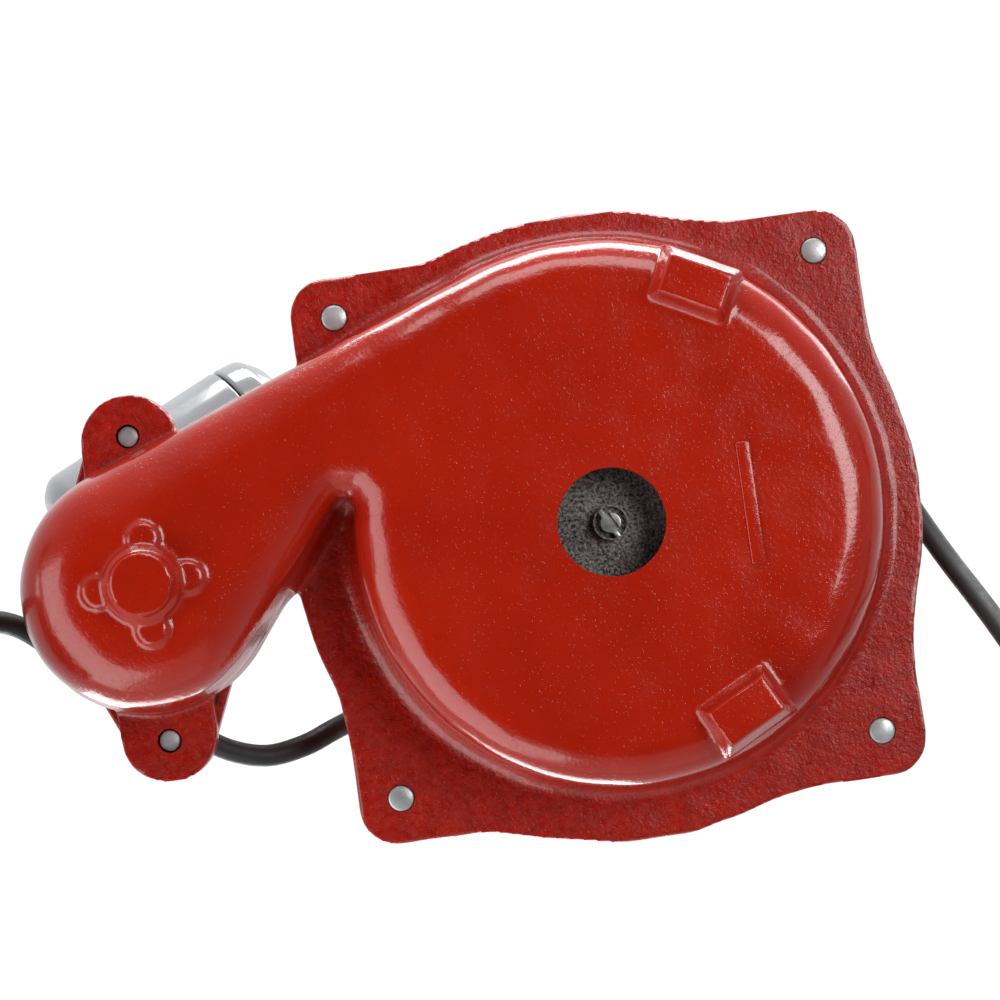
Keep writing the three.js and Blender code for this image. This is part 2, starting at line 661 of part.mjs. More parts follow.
// A sheet bracket under the first flange bolt: a tab inwards and an upright beside the cord.
const radialSpot = (radial, along) => {
  const c = Math.SQRT1_2;
  return [c * (radial - along), c * (radial + along)];
};
const CLAMP_RADIAL = (PIVOT.x + PIVOT.y) * Math.SQRT1_2;
const CLAMP_ALONG = (PIVOT.y - PIVOT.x) * Math.SQRT1_2;
const UPRIGHT = CLAMP_RADIAL - CORD_R - 5;
const SCREW_RISE = 12.5;
const SCREW_SIDE = 9;

function floatBracket() {
  const tabLength = 136 - UPRIGHT;
  const low = 98 + GAP;
  const tab = block(tabLength, 22, BRACKET_SHEET, UPRIGHT - 1.5 + tabLength / 2, 2, low + BRACKET_SHEET / 2);
  const height = PIVOT.z + SCREW_RISE + 6 - low;
  const upright = block(BRACKET_SHEET, 26, height, UPRIGHT, 4, low + height / 2);
  const ties = [tab, upright].map((piece) => piece.rotateZ(deg(45)));
  const [sx, sy] = radialSpot(UPRIGHT, CLAMP_ALONG + SCREW_SIDE);
  const hole = cylinder(2.6, -10, 10, 0, 0, 12).rotateY(Math.PI / 2).rotateZ(deg(45));
  const boltHole = cylinder(BOLT_R + GAP, 90, 110, BOLT_XY, BOLT_XY, 10);
  const tools = [boltHole, hole.translate(sx, sy, PIVOT.z + SCREW_RISE)];
  return cut(join(...ties), ...tools);
}

add('float_bracket', floatBracket(), STEEL);

// A saddle clamp round the cord, its axis along the bracket.
function floatClamp() {
  const sleeve = cylinder(CORD_R + 3, 2.5, 16, 0, 0, 20).rotateX(-Math.PI / 2);
  const ear = block(3, 13.5, 18, -CORD_R - 1.7, 9.25, 9);
  const bore = cylinder(CORD_R + GAP, -5, 25, 0, 0, 12).rotateX(-Math.PI / 2);
  const hole = cylinder(2.6, -10, 10, 0, 0, 12).rotateY(Math.PI / 2).translate(-6, SCREW_SIDE, SCREW_RISE);
  const clamp = cut(join(sleeve, ear), bore, hole);
  return clamp.rotateZ(deg(45)).translate(PIVOT.x, PIVOT.y, PIVOT.z);
}

add('float_clamp', floatClamp(), STEEL);

function clampScrew() {
  const screw = join(cylinder(2.2, -6.5, 2, 0, 0, 12), cylinder(4.4, 1, 4, 0, 0, 16));
  const [x, y] = radialSpot(CLAMP_RADIAL - CORD_R - 0.9, CLAMP_ALONG + SCREW_SIDE);
  return screw.rotateY(Math.PI / 2).rotateZ(deg(45)).translate(x, y, PIVOT.z + SCREW_RISE);
}

add('clamp_screw', clampScrew(), STEEL);

// The swinging parts share a frame whose X axis runs out along the tether.
const arm = new THREE.Group();
arm.position.copy(PIVOT);
arm.quaternion.setFromUnitVectors(new THREE.Vector3(1, 0, 0), FLOAT_DIR);
pump.add(arm);

const alongArm = (geometry) => geometry.rotateY(Math.PI / 2);
const tether = turned([
  [0, -3], [2.4, -2.4], [CORD_R, 0], [CORD_R, TETHER - 14.3], [0, TETHER - 14.3],
], 12);
add('float_tether', alongArm(tether), FINISH_CORD, arm);

const FLOAT_END = TETHER + FLOAT_LENGTH;
const SEAM = TETHER + 17;
const floatShell = turned([
  [0, FLOAT_END], [26, FLOAT_END], [FLOAT_R, FLOAT_END - 6], [FLOAT_R, SEAM + GAP], [FLOAT_R - 3, SEAM + GAP],
  [FLOAT_R - 3, FLOAT_END - 7], [24, FLOAT_END - 3], [0, FLOAT_END - 3],
], 24);
add('float_body', alongArm(floatShell), GREY, arm);
const floatCap = turned([
  [0, TETHER - 14], [7, TETHER - 14], [8.5, TETHER], [24, TETHER + 1], [FLOAT_R - 1, TETHER + 7],
  [FLOAT_R, SEAM - GAP], [FLOAT_R - 4, SEAM - GAP], [FLOAT_R - 4, TETHER + 10], [0, TETHER + 10],
], 24);
add('float_cap', alongArm(floatCap), GREY, arm);
const BALL_R = 9;
const tubeRing = ring([
  [BALL_R + 0.6, SEAM + 3], [BALL_R + 3, SEAM + 3], [BALL_R + 3, FLOAT_END - 5], [BALL_R + 0.6, FLOAT_END - 5],
], 16);
add('switch_tube', alongArm(tubeRing), BLACK, arm);
const ball = new THREE.SphereGeometry(BALL_R, 12, 8).translate(FLOAT_END - 4 - BALL_R, 0, 0);
add('float_ball', ball, STEEL, arm);

// From the clamp round the back of the motor, over the flange rim and down to the floor.
const round = (radius, angle, z) => [...polar(radius, angle), z];
const behindClamp = (s) => [PIVOT.x - s * Math.SQRT1_2, PIVOT.y + s * Math.SQRT1_2, PIVOT.z];
const floatRoute = [
  behindClamp(5), behindClamp(10), behindClamp(17), round(111.8, 66, 152.5), round(111.8, 76, 145),
  round(110.5, 87, 133.5), round(109, 98, 121), round(107.5, 109, 110.5), round(106.5, 121, 104.2),
  round(106, 134, 103), round(106, 147, 102.9), round(107, 160, 102.9), round(110.5, 172, 102.9),
  [-114.5, -1, 102.8], [-119, -11.5, 100.6], [-123.5, -22, 94.8], [-128.5, -33.5, 85.5], [-133.5, -45, 73],
  [-138, -56.5, 58.5], [-142, -68, 44.5], [-144.6, -77, 35.5], [-146, -86, 30],
];
const floatCoil = { x: -205, y: -104, entry: 0, exit: 150 };
addCord('float_cord', floatRoute, 36, floatCoil, COIL_MEAN + 4 * CORD_R, 80, 1, plugBody(52, 30, 27, 18), 27);

export default new THREE.Group().add(pump);
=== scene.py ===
"""A red cast-iron submersible sewage pump, seen from below. Builders work in millimetres from the
shaft's axis, with +X towards the discharge, and place() turns them into metres in the frame."""
import math

import bmesh
import bpy
from mathutils import Matrix, Vector, noise


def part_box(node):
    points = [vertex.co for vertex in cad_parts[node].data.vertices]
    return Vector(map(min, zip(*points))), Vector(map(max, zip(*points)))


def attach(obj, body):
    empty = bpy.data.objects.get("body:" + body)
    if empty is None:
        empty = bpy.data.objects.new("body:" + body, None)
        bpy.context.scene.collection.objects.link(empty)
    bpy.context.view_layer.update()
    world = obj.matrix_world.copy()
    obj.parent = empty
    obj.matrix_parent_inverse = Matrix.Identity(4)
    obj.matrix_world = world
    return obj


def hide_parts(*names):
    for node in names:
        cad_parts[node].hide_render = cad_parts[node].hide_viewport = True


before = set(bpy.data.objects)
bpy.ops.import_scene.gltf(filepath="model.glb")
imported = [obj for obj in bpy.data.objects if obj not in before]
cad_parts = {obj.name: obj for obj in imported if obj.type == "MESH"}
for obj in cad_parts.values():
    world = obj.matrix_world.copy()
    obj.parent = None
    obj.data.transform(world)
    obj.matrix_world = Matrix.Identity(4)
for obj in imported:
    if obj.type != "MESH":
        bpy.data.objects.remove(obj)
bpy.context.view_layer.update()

MM = 0.001
SHAFT = (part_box("shaft")[0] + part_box("shaft")[1]) / 2
TO_FRAME = Matrix.Translation((SHAFT.x, SHAFT.y, 0)) @ Matrix.Scale(MM, 4)
VOXEL = 1.0


# ---- camera, floor and light ---------------------------------------------------------------

def place_point(x, y, z):
    return Vector((SHAFT.x + x * MM, SHAFT.y + y * MM, z * MM))


def make_camera():
    """Below the volute, almost square to it and turned a little about the view's own axis."""
    data = bpy.data.cameras.new("camera")
    data.lens = 121
    data.sensor_width = 36
    data.clip_end = 20
    camera = bpy.data.objects.new("camera", data)
    bpy.context.scene.collection.objects.link(camera)
    roll = math.radians(8)
    across = Vector((-math.cos(roll), -math.sin(roll), 0))
    spot, target = place_point(42.4, -14.4, -1191), place_point(38.5, 13.3, 9)
    back = (spot - target).normalized()
    up = back.cross(across).normalized()
    turn = Matrix((up.cross(back), up, back)).transposed()
    camera.matrix_world = Matrix.Translation(spot) @ turn.to_4x4()
    bpy.context.scene.camera = camera


def soft_light(name, at, aim, size, watts, size_y=None):
    data = bpy.data.lights.new(name, "AREA")
    data.energy = watts
    data.size = size
    if size_y:
        data.shape = "RECTANGLE"
        data.size_y = size_y
    light = bpy.data.objects.new(name, data)
    light.location = at
    light.rotation_euler = (Vector(aim) - Vector(at)).to_track_quat("-Z", "Y").to_euler()
    bpy.context.scene.collection.objects.link(light)


def make_floor():
    """A pale floor that is clear when looked at from underneath."""
    mesh = bpy.data.meshes.new("floor")
    half = 6
    corners = [(-half, -half, 0), (half, -half, 0), (half, half, 0), (-half, half, 0)]
    mesh.from_pydata(corners, [], [(0, 1, 2, 3)])
    floor = bpy.data.objects.new("floor", mesh)
    bpy.context.scene.collection.objects.link(floor)
    floor.visible_shadow = False
    floor.visible_diffuse = False
    floor.visible_glossy = False
    floor.visible_transmission = False
    material = bpy.data.materials.new("floor")
    material.use_nodes = True
    tree = material.node_tree
    tree.nodes.clear()
    pale = tree.nodes.new("ShaderNodeBsdfDiffuse")
    pale.inputs["Color"].default_value = (0.86, 0.86, 0.86, 1)
    clear = tree.nodes.new("ShaderNodeBsdfTransparent")
    side = tree.nodes.new("ShaderNodeNewGeometry")
    mix = tree.nodes.new("ShaderNodeMixShader")
    out = tree.nodes.new("ShaderNodeOutputMaterial")
    tree.links.new(side.outputs["Backfacing"], mix.inputs["Fac"])
    tree.links.new(pale.outputs[0], mix.inputs[1])
    tree.links.new(clear.outputs[0], mix.inputs[2])
    tree.links.new(mix.outputs[0], out.inputs["Surface"])
    mesh.materials.append(material)


def make_world():
    """White to the eye. To everything else a pale room, dark straight below."""
    world = bpy.data.worlds.new("studio")
    world.use_nodes = True
    tree = world.node_tree
    tree.nodes.clear()
    seen = tree.nodes.new("ShaderNodeBackground")
    seen.inputs["Color"].default_value = (1, 1, 1, 1)
    seen.inputs["Strength"].default_value = 1.05
    fill = tree.nodes.new("ShaderNodeBackground")
    fill.inputs["Strength"].default_value = 0.6
    direction = tree.nodes.new("ShaderNodeTexCoord")
    split = tree.nodes.new("ShaderNodeSeparateXYZ")
    tree.links.new(direction.outputs["Generated"], split.inputs[0])
    height = tree.nodes.new("ShaderNodeMapRange")
    height.inputs["From Min"].default_value = -1
    height.inputs["From Max"].default_value = 1
    tree.links.new(split.outputs["Z"], height.inputs["Value"])
    shade = tree.nodes.new("ShaderNodeValToRGB")
    elements = shade.color_ramp.elements
    elements.new(0.5)
    for element, (at, level) in zip(elements, ((0.06, 0.03), (0.42, 0.62), (0.9, 1.2))):
        element.position = at
        element.color = (level, level, level * 1.02, 1)
    tree.links.new(height.outputs[0], shade.inputs[0])
    tree.links.new(shade.outputs[0], fill.inputs["Color"])
    ray = tree.nodes.new("ShaderNodeLightPath")
    mix = tree.nodes.new("ShaderNodeMixShader")
    out = tree.nodes.new("ShaderNodeOutputWorld")
    tree.links.new(ray.outputs["Is Camera Ray"], mix.inputs["Fac"])
    tree.links.new(fill.outputs[0], mix.inputs[1])
    tree.links.new(seen.outputs[0], mix.inputs[2])
    tree.links.new(mix.outputs[0], out.inputs["Surface"])
    bpy.context.scene.world = world


make_camera()
make_floor()
make_world()
bpy.context.scene.view_settings.view_transform = "Standard"
soft_light("side_below", place_point(-670, 185, -975), place_point(-40, 20, 10), 0.62, 9.2)
soft_light("under_key", place_point(-60, 1000, -430), place_point(20, 60, 20), 0.9, 6, size_y=0.45)
soft_light("behind_key", place_point(-80, 950, 420), place_point(0, 60, 20), 1.0, 14, size_y=0.4)
soft_light("under_front", place_point(60, -1000, -420), place_point(40, -20, 20), 0.9, 0.8)
soft_light("under_left", place_point(950, -420, -400), place_point(100, 0, 20), 1.9, 16, size_y=0.9)
soft_light("over_key", place_point(500, -1100, 1300), place_point(0, 0, 150), 1.0, 16)
soft_light("over_back", place_point(-900, 900, 1100), place_point(0, 0, 180), 1.0, 9)


# ---- materials -----------------------------------------------------------------------------

class Look:
    """A node material around one principled shader."""

    def __init__(self, name, **sockets):
        self.material = bpy.data.materials.new(name)
        self.material.use_nodes = True
        self.tree = self.material.node_tree
        self.shader = self.tree.nodes["Principled BSDF"]
        for socket, value in sockets.items():
            self.shader.inputs[socket.replace("_", " ")].default_value = value
        self.place = self.tree.nodes.new("ShaderNodeTexCoord").outputs["Object"]

    def link(self, source, node, socket):
        self.tree.links.new(source, node.inputs[socket])

    def noise(self, per_metre, detail=2.0, roughness=0.5, distortion=0.0, stretch=None):
        node = self.tree.nodes.new("ShaderNodeTexNoise")
        node.inputs["Scale"].default_value = per_metre
        node.inputs["Detail"].default_value = detail
        node.inputs["Roughness"].default_value = roughness
        node.inputs["Distortion"].default_value = distortion
        place = self.place
        if stretch:
            mapping = self.tree.nodes.new("ShaderNodeMapping")
            mapping.inputs["Scale"].default_value = stretch
            self.link(self.place, mapping, "Vector")
            place = mapping.outputs[0]
        self.link(place, node, "Vector")
        return node.outputs["Fac"]

    def ramp(self, source, *stops):
        node = self.tree.nodes.new("ShaderNodeValToRGB")
        elements = node.color_ramp.elements
        while len(elements) < len(stops):
            elements.new(0.5)
        for element, (at, value) in zip(elements, stops):
            element.position = at
            element.color = (*value, 1) if isinstance(value, tuple) else (value, value, value, 1)
        self.link(source, node, "Fac")
        return node.outputs["Color"]

    def math(self, operation, first, second):
        node = self.tree.nodes.new("ShaderNodeMath")
        node.operation = operation
        for socket, value in ((0, first), (1, second)):
            if isinstance(value, (int, float)):
                node.inputs[socket].default_value = value
            else:
                self.tree.links.new(value, node.inputs[socket])
        return node.outputs[0]

    def mix(self, factor, first, second):
        node = self.tree.nodes.new("ShaderNodeMix")
        node.data_type = "RGBA"
        self.tree.links.new(factor, node.inputs["Factor"])
        for socket, value in (("A", first), ("B", second)):
            target = [i for i in node.inputs if i.name == socket and i.type == "RGBA"][0]
            if isinstance(value, tuple):
                target.default_value = (*value, 1)
            else:
                self.tree.links.new(value, target)
        return [o for o in node.outputs if o.type == "RGBA"][0]

    def bump(self, *layers):
        """Each layer is (height, depth in millimetres), the first the deepest under the others."""
        normal = None
        for height, depth in layers:
            node = self.tree.nodes.new("ShaderNodeBump")
            node.inputs["Distance"].default_value = depth * MM
            self.link(height, node, "Height")
            if normal:
                self.link(normal, node, "Normal")
            normal = node.outputs[0]
        self.link(normal, self.shader, "Normal")

    def attribute(self, name):
        node = self.tree.nodes.new("ShaderNodeAttribute")
        node.attribute_name = name
        return node.outputs["Fac"]

    def set(self, socket, source):
        self.link(source, self.shader, socket)


def paint_look():
    """Gloss red over cast iron: orange peel where the casting is smooth, coarse grain where
    the attribute "rough" says that it isn't."""
    look = Look("red_paint", Coat_Weight=0.45, Coat_Roughness=0.1, Specular_IOR_Level=0.36)
    rough = look.attribute("rough")
    wide = look.ramp(look.noise(26, 3), (0.35, (0.315, 0.009, 0.0014)), (0.68, (0.365, 0.0115, 0.0018)))
    dark = look.ramp(look.noise(160, 3, 0.6), (0.3, (0.24, 0.005, 0.0008)), (0.7, (0.36, 0.008, 0.0015)))
    look.set("Base Color", look.mix(rough, wide, dark))
    nibs = look.ramp(look.noise(950, 1), (0.63, 0.0), (0.74, 1.0))
    gloss = look.ramp(look.noise(90, 3), (0.3, 0.17), (0.7, 0.25))
    sandy = look.ramp(look.noise(420, 2), (0.35, 0.25), (0.7, 0.45))
    look.set("Roughness", look.mix(rough, gloss, sandy))
    peel = look.noise(520, 1.5, 0.5)
    sag = look.noise(75, 2)
    coarseness = look.math("ADD", look.math("MULTIPLY", rough, 2.6), 0.5)
    grain = look.math("MULTIPLY", look.noise(560, 3, 0.6), coarseness)
    look.bump((sag, 0.12), (peel, 0.12), (grain, 0.13), (nibs, 0.05))
    return look.material


def metal_look(name, colour, roughness, streaks=None, pits=0.03, metallic=1.0):
    look = Look(name, Metallic=metallic)
    tone = look.noise(140, 4, 0.6)
    low = tuple(c * 0.78 for c in colour)
    look.set("Base Color", look.ramp(tone, (0.3, low), (0.7, colour)))
    look.set("Roughness", look.ramp(look.noise(260, 3), (0.3, roughness * 0.75), (0.7, roughness * 1.3)))
    fine = look.noise(900, 3, 0.6, stretch=streaks) if streaks else look.noise(900, 3, 0.6)
    look.bump((fine, pits))
    return look.material


def iron_look():
    """Grey iron as it left the sand, with bright and dark grains."""
    look = Look("raw_iron", Metallic=0.3)
    grains = look.mix(look.ramp(look.noise(950, 3, 0.7), (0.38, 0.0), (0.66, 1.0)),
                      (0.02, 0.018, 0.017), (0.42, 0.385, 0.36))
    look.set("Base Color", grains)
    look.set("Roughness", look.ramp(look.noise(400, 3), (0.3, 0.4), (0.75, 0.75)))
    look.bump((look.noise(300, 3, 0.6), 0.4), (look.noise(950, 3, 0.7), 0.45))
    return look.material


def rubber_look(name, colour, roughness, depth=0.05):
    look = Look(name, Specular_IOR_Level=0.3)
    low = tuple(c * 0.72 for c in colour)
    look.set("Base Color", look.ramp(look.noise(110, 4, 0.6), (0.3, low), (0.72, colour)))
    look.set("Roughness", look.ramp(look.noise(330, 3), (0.3, roughness * 0.85), (0.7, roughness * 1.2)))
    look.bump((look.noise(60, 2), depth * 2), (look.noise(1500, 2), depth))
    return look.material


def float_look():
    look = Look("float_plastic", Coat_Weight=0.5, Coat_Roughness=0.05, Specular_IOR_Level=0.55)
    grey = look.ramp(look.noise(40, 3), (0.3, (0.27, 0.285, 0.3)), (0.7, (0.32, 0.335, 0.35)))
    look.set("Base Color", grey)
    look.set("Roughness", look.ramp(look.noise(240, 3), (0.3, 0.12), (0.7, 0.24)))
    look.bump((look.noise(45, 2), 0.12), (look.noise(700, 2), 0.012))
    return look.material


def winding_look():
    look = Look("copper", Metallic=0.9)
    strands = look.noise(700, 2, 0.6, stretch=(1, 1, 0.15))
    look.set("Base Color", look.ramp(strands, (0.35, (0.22, 0.07, 0.025)), (0.65, (0.62, 0.27, 0.12))))
    look.set("Roughness", look.ramp(strands, (0.3, 0.25), (0.7, 0.5)))
    look.bump((strands, 0.4))
    return look.material


PAINT = paint_look()
ZINC = metal_look("zinc_steel", (0.52, 0.53, 0.54), 0.34, metallic=0.45)
STAINLESS = metal_look("stainless", (0.56, 0.56, 0.55), 0.3, streaks=(1, 1, 14), metallic=0.8)
LAMINATION = metal_look("laminations", (0.2, 0.2, 0.21), 0.45, streaks=(0.1, 0.1, 6), pits=0.08)
CAN = metal_look("capacitor_can", (0.62, 0.62, 0.63), 0.35)
IRON = iron_look()
RUBBER = rubber_look("black_rubber", (0.02, 0.02, 0.021), 0.6)
JACKET = rubber_look("cord_rubber", (0.029, 0.03, 0.031), 0.5)
MOULDED = rubber_look("plug_plastic", (0.032, 0.032, 0.034), 0.5)
BLACK = rubber_look("black_plastic", (0.026, 0.026, 0.028), 0.45)
CERAMIC = rubber_look("ceramic", (0.74, 0.7, 0.62), 0.25, 0.01)
FLOAT = float_look()
COPPER = winding_look()


# ---- mesh helpers --------------------------------------------------------------------------

def new_object(name, bm):
    mesh = bpy.data.meshes.new(name)
    bmesh.ops.recalc_face_normals(bm, faces=bm.faces)
    bm.to_mesh(mesh)
    bm.free()
    piece = bpy.data.objects.new(name, mesh)
    bpy.context.scene.collection.objects.link(piece)
    return piece


def bake(piece):
    """Applies the piece's modifiers."""
    graph = bpy.context.evaluated_depsgraph_get()
    mesh = bpy.data.meshes.new_from_object(piece.evaluated_get(graph))
    piece.modifiers.clear()
    old = piece.data
    piece.data = mesh
    bpy.data.meshes.remove(old)
    return piece


def drop(*pieces):
    for piece in pieces:
        bpy.data.objects.remove(piece, do_unlink=True)


def bevelled(piece, width, segments=3, angle=40):
    modifier = piece.modifiers.new("bevel", "BEVEL")
    modifier.width = width
    modifier.segments = segments
    modifier.limit_method = "ANGLE"
    modifier.angle_limit = math.radians(angle)
    modifier.harden_normals = False
    return bake(piece)


def combined(operation, piece, others):
    for other in others:
        modifier = piece.modifiers.new("join", "BOOLEAN")
        modifier.operation = operation
        modifier.solver = "MANIFOLD"
        modifier.object = other
    bake(piece)
    drop(*others)
    return piece


def skin(rings):
    """A closed surface through rings of equal count, with flat ends."""
    bm = bmesh.new()
    levels = [[bm.verts.new(point) for point in ring] for ring in rings]
    count = len(rings[0])
    for below, above in zip(levels, levels[1:]):
        for i in range(count):
            j = (i + 1) % count
            bm.faces.new((below[i], below[j], above[j], above[i]))
    bm.faces.new(levels[0][::-1])
    bm.faces.new(levels[-1])
    return new_object("skin", bm)


def prism(outline, low, high):
    return skin([[(x, y, z) for x, y in outline] for z in (low, high)])


def lathe(profile, sides=96):
    """Turns a profile of (radius, height) about the Z axis. It starts and ends on the axis, or closes."""
    bm = bmesh.new()
    closed = profile[0][0] > 0
    rows = []
    for radius, height in profile:
        if radius == 0:
            rows.append([bm.verts.new((0, 0, height))] * sides)
            continue
        angles = [math.tau * i / sides for i in range(sides)]
        rows.append([bm.verts.new((radius * math.cos(a), radius * math.sin(a), height)) for a in angles])
    pairs = list(zip(rows, rows[1:])) + ([(rows[-1], rows[0])] if closed else [])
    for row, after in pairs:
        for i in range(sides):
            j = (i + 1) % sides
            corners = list(dict.fromkeys((row[i], row[j], after[j], after[i])))
            if len(corners) > 2:
                bm.faces.new(corners)
    return new_object("lathe", bm)


def corner_curve(start, corner, end, steps):
    """Points from start to end along a curve drawn towards the corner."""
    shares = [k / steps for k in range(steps + 1)]
    return [tuple(start * (1 - t) ** 2 + corner * 2 * t * (1 - t) + end * t * t) for t in shares]


def rounded(profile, radius, steps=4):
    """A profile with its corners rounded off."""
    points = [Vector(p) for p in profile]
    ends = profile[0][0] == 0
    result = []
    for i, point in enumerate(points):
        if ends and i in (0, len(points) - 1):
            result.append(tuple(point))
            continue
        before = points[i - 1] - point
        after = points[(i + 1) % len(points)] - point
        reach = min(radius, before.length * 0.45, after.length * 0.45)
        start = point + before.normalized() * reach
        end = point + after.normalized() * reach
        result += corner_curve(start, point, end, steps)
    return result


def rod(radius, low, high, x=0, y=0, sides=48):
    piece = lathe([(0, low), (radius, low), (radius, high), (0, high)], sides)
    piece.data.transform(Matrix.Translation((x, y, 0)))
    return piece


def box_piece(width, depth, height, centre):
    bm = bmesh.new()
    bmesh.ops.create_cube(bm, size=1)
    bmesh.ops.scale(bm, vec=(width, depth, height), verts=bm.verts)
    bmesh.ops.translate(bm, vec=centre, verts=bm.verts)
    return new_object("box", bm)


def turned_by(piece, matrix):
    piece.data.transform(matrix)
    return piece


def spin(degrees, axis="Z"):
    return Matrix.Rotation(math.radians(degrees), 4, axis)


def polar(radius, degrees):
    return radius * math.cos(math.radians(degrees)), radius * math.sin(math.radians(degrees))


def cast(pieces, voxel, relax, waver):
    """Melts solids into one casting with soft inner corners and a slightly uneven surface."""
    whole = combined("UNION", pieces[0], pieces[1:]) if len(pieces) > 1 else pieces[0]
    melt = whole.modifiers.new("melt", "REMESH")
    melt.mode = "VOXEL"
    melt.voxel_size = voxel
    bake(whole)
    soften = whole.modifiers.new("soften", "SMOOTH")
    soften.factor = 0.5
    soften.iterations = relax
    bake(whole)
    mesh = whole.data
    normals = [Vector(v.normal) for v in mesh.vertices]
    for vertex, normal in zip(mesh.vertices, normals):
        vertex.co += normal * waver * noise.noise(vertex.co / 14)
    return whole


def place(piece, node, body, slot, material, smooth=32, extra=()):
    """Moves a finished piece from millimetres about the shaft into the frame, in place of its node."""
    piece.name = f"{node}_shape"
    piece.data.transform(TO_FRAME)
    piece.data.materials.clear()
    piece.data.materials.append(material)
    piece.data.polygons.foreach_set("use_smooth", [True] * len(piece.data.polygons))
    piece.data.set_sharp_from_angle(angle=math.radians(smooth))
    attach(piece, body)
    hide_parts(node, *extra)
    return piece


# ---- cords ---------------------------------------------------------------------------------

CORD_R = 4.2
COIL_MEAN = 50
LAYER_1, LAYER_2, LAYER_3 = (CORD_R * k + 0.1 for k in (1, 3, 5))
OUTER, MIDDLE, INNER = COIL_MEAN + 2 * CORD_R, COIL_MEAN, COIL_MEAN - 2 * CORD_R
CORD_SIDE = -31
PIVOT = Vector((67.5, 83.9, 154.3))
FLOAT_DIR = Vector((0.8746, -0.432, -0.2213)).normalized()


def on_side(radius, height, degrees=CORD_SIDE):
    return (*polar(radius, degrees), height)


def behind_clamp(distance):
    return (PIVOT.x - distance * math.sqrt(0.5), PIVOT.y + distance * math.sqrt(0.5), PIVOT.z)


# Up out of the gland, over, down beside the motor, across the discharge and down to the floor.
POWER_ROUTE = [
    on_side(45, 318), on_side(45, 345), on_side(45, 374), on_side(48, 390), on_side(57, 403),
    on_side(71, 409.2), on_side(87, 408.3), on_side(102, 400), on_side(112, 384), on_side(116, 362),
    on_side(116.5, 325), on_side(117, 280), on_side(117.5, 230), on_side(118, 185), (102.5, -60.5, 155),
    (106.5, -61, 131), (114.5, -63.5, 112), (126, -67.5, 99.5), (140, -69, 93.5), (154, -64.5, 90.5),
    (166, -56, 88.9), (178, -45.5, 88.4), (190, -36.8, 87.5), (202.5, -27.8, 86), (214, -16.5, 82.5),
    (225, -7, 75.5), (236, -3, 65), (247, -1, 52.5), (258, 0.6, 41), (267, 1.8, 34), (275, 2.6, 30),
]
# From the clamp round the back of the motor, over the flange rim and down to the floor.
FLOAT_ROUTE = [
    behind_clamp(5), behind_clamp(10), behind_clamp(17), on_side(111.8, 152.5, 66), on_side(111.8, 145, 76),
    on_side(110.5, 133.5, 87), on_side(109, 121, 98), on_side(107.5, 110.5, 109), on_side(106.5, 104.2, 121),
    on_side(106, 103, 134), on_side(106, 102.9, 147), on_side(107, 102.9, 160), on_side(110.5, 102.9, 172),
    (-114.5, -1, 102.8), (-119, -11.5, 100.6), (-123.5, -22, 94.8), (-128.5, -33.5, 85.5), (-133.5, -45, 73),
    (-138, -56.5, 58.5), (-142, -68, 44.5), (-144.6, -77, 35.5), (-146, -86, 30),
]
POWER_COIL = {
    "at": (298, -54), "entry": 90, "exit": 150, "landing": [(284, 3.5, 26), (291, 4.1, 23)],
    "turns": [(OUTER, LAYER_3), (OUTER, LAYER_2), (MIDDLE, LAYER_2), (INNER, LAYER_2),
              (INNER, LAYER_1), (MIDDLE, LAYER_1), (OUTER, LAYER_1)],
}
FLOAT_COIL = {
    "at": (-205, -104), "entry": 0, "exit": 150, "landing": [(-146.5, -95, 25)],
    "turns": [*POWER_COIL["turns"], (OUTER + 2 * CORD_R, LAYER_1)],
}


def smooth_step(t):
    t = min(max(t, 0), 1)
    return t * t * (3 - 2 * t)


def coil_points(coil):
    """Turns wound clockwise, each crossing to its own place just after the free end's angle."""
    first = ((coil["entry"] - coil["exit"]) % 360) / 360
    turns = coil["turns"]
    total = first + len(turns) - 1
    per_turn = 24
    points = []
    for step in range(round(total * per_turn) + 1):
        t = min(step / per_turn, total)
        index = 0 if t < first else min(1 + int(t - first + 1e-9), len(turns) - 1)
        radius, height = turns[index]
        if index:
            before = turns[index - 1]
            into = t - first - (index - 1)
            share = smooth_step(into / (0.16 if before[1] != height else 0.3))
            radius = before[0] + (radius - before[0]) * share
            height = before[1] + (height - before[1]) * share
        x, y = polar(radius, coil["entry"] - 360 * t)
        points.append((coil["at"][0] + x, coil["at"][1] + y, height))
    return points


def free_end(coil):
    """From the coil's outer bottom turn straight along the floor to the plug."""
    x, y = polar(coil["turns"][-1][0], coil["exit"])
    ahead = polar(1, coil["exit"] - 90)
    spots = [(15, LAYER_1), (35, LAYER_1), (48, CORD_R + 0.6), (64, 7), (80, 10.5), (86, 11.2)]
    return [(coil["at"][0] + x + ahead[0] * s, coil["at"][1] + y + ahead[1] * s, z) for s, z in spots]


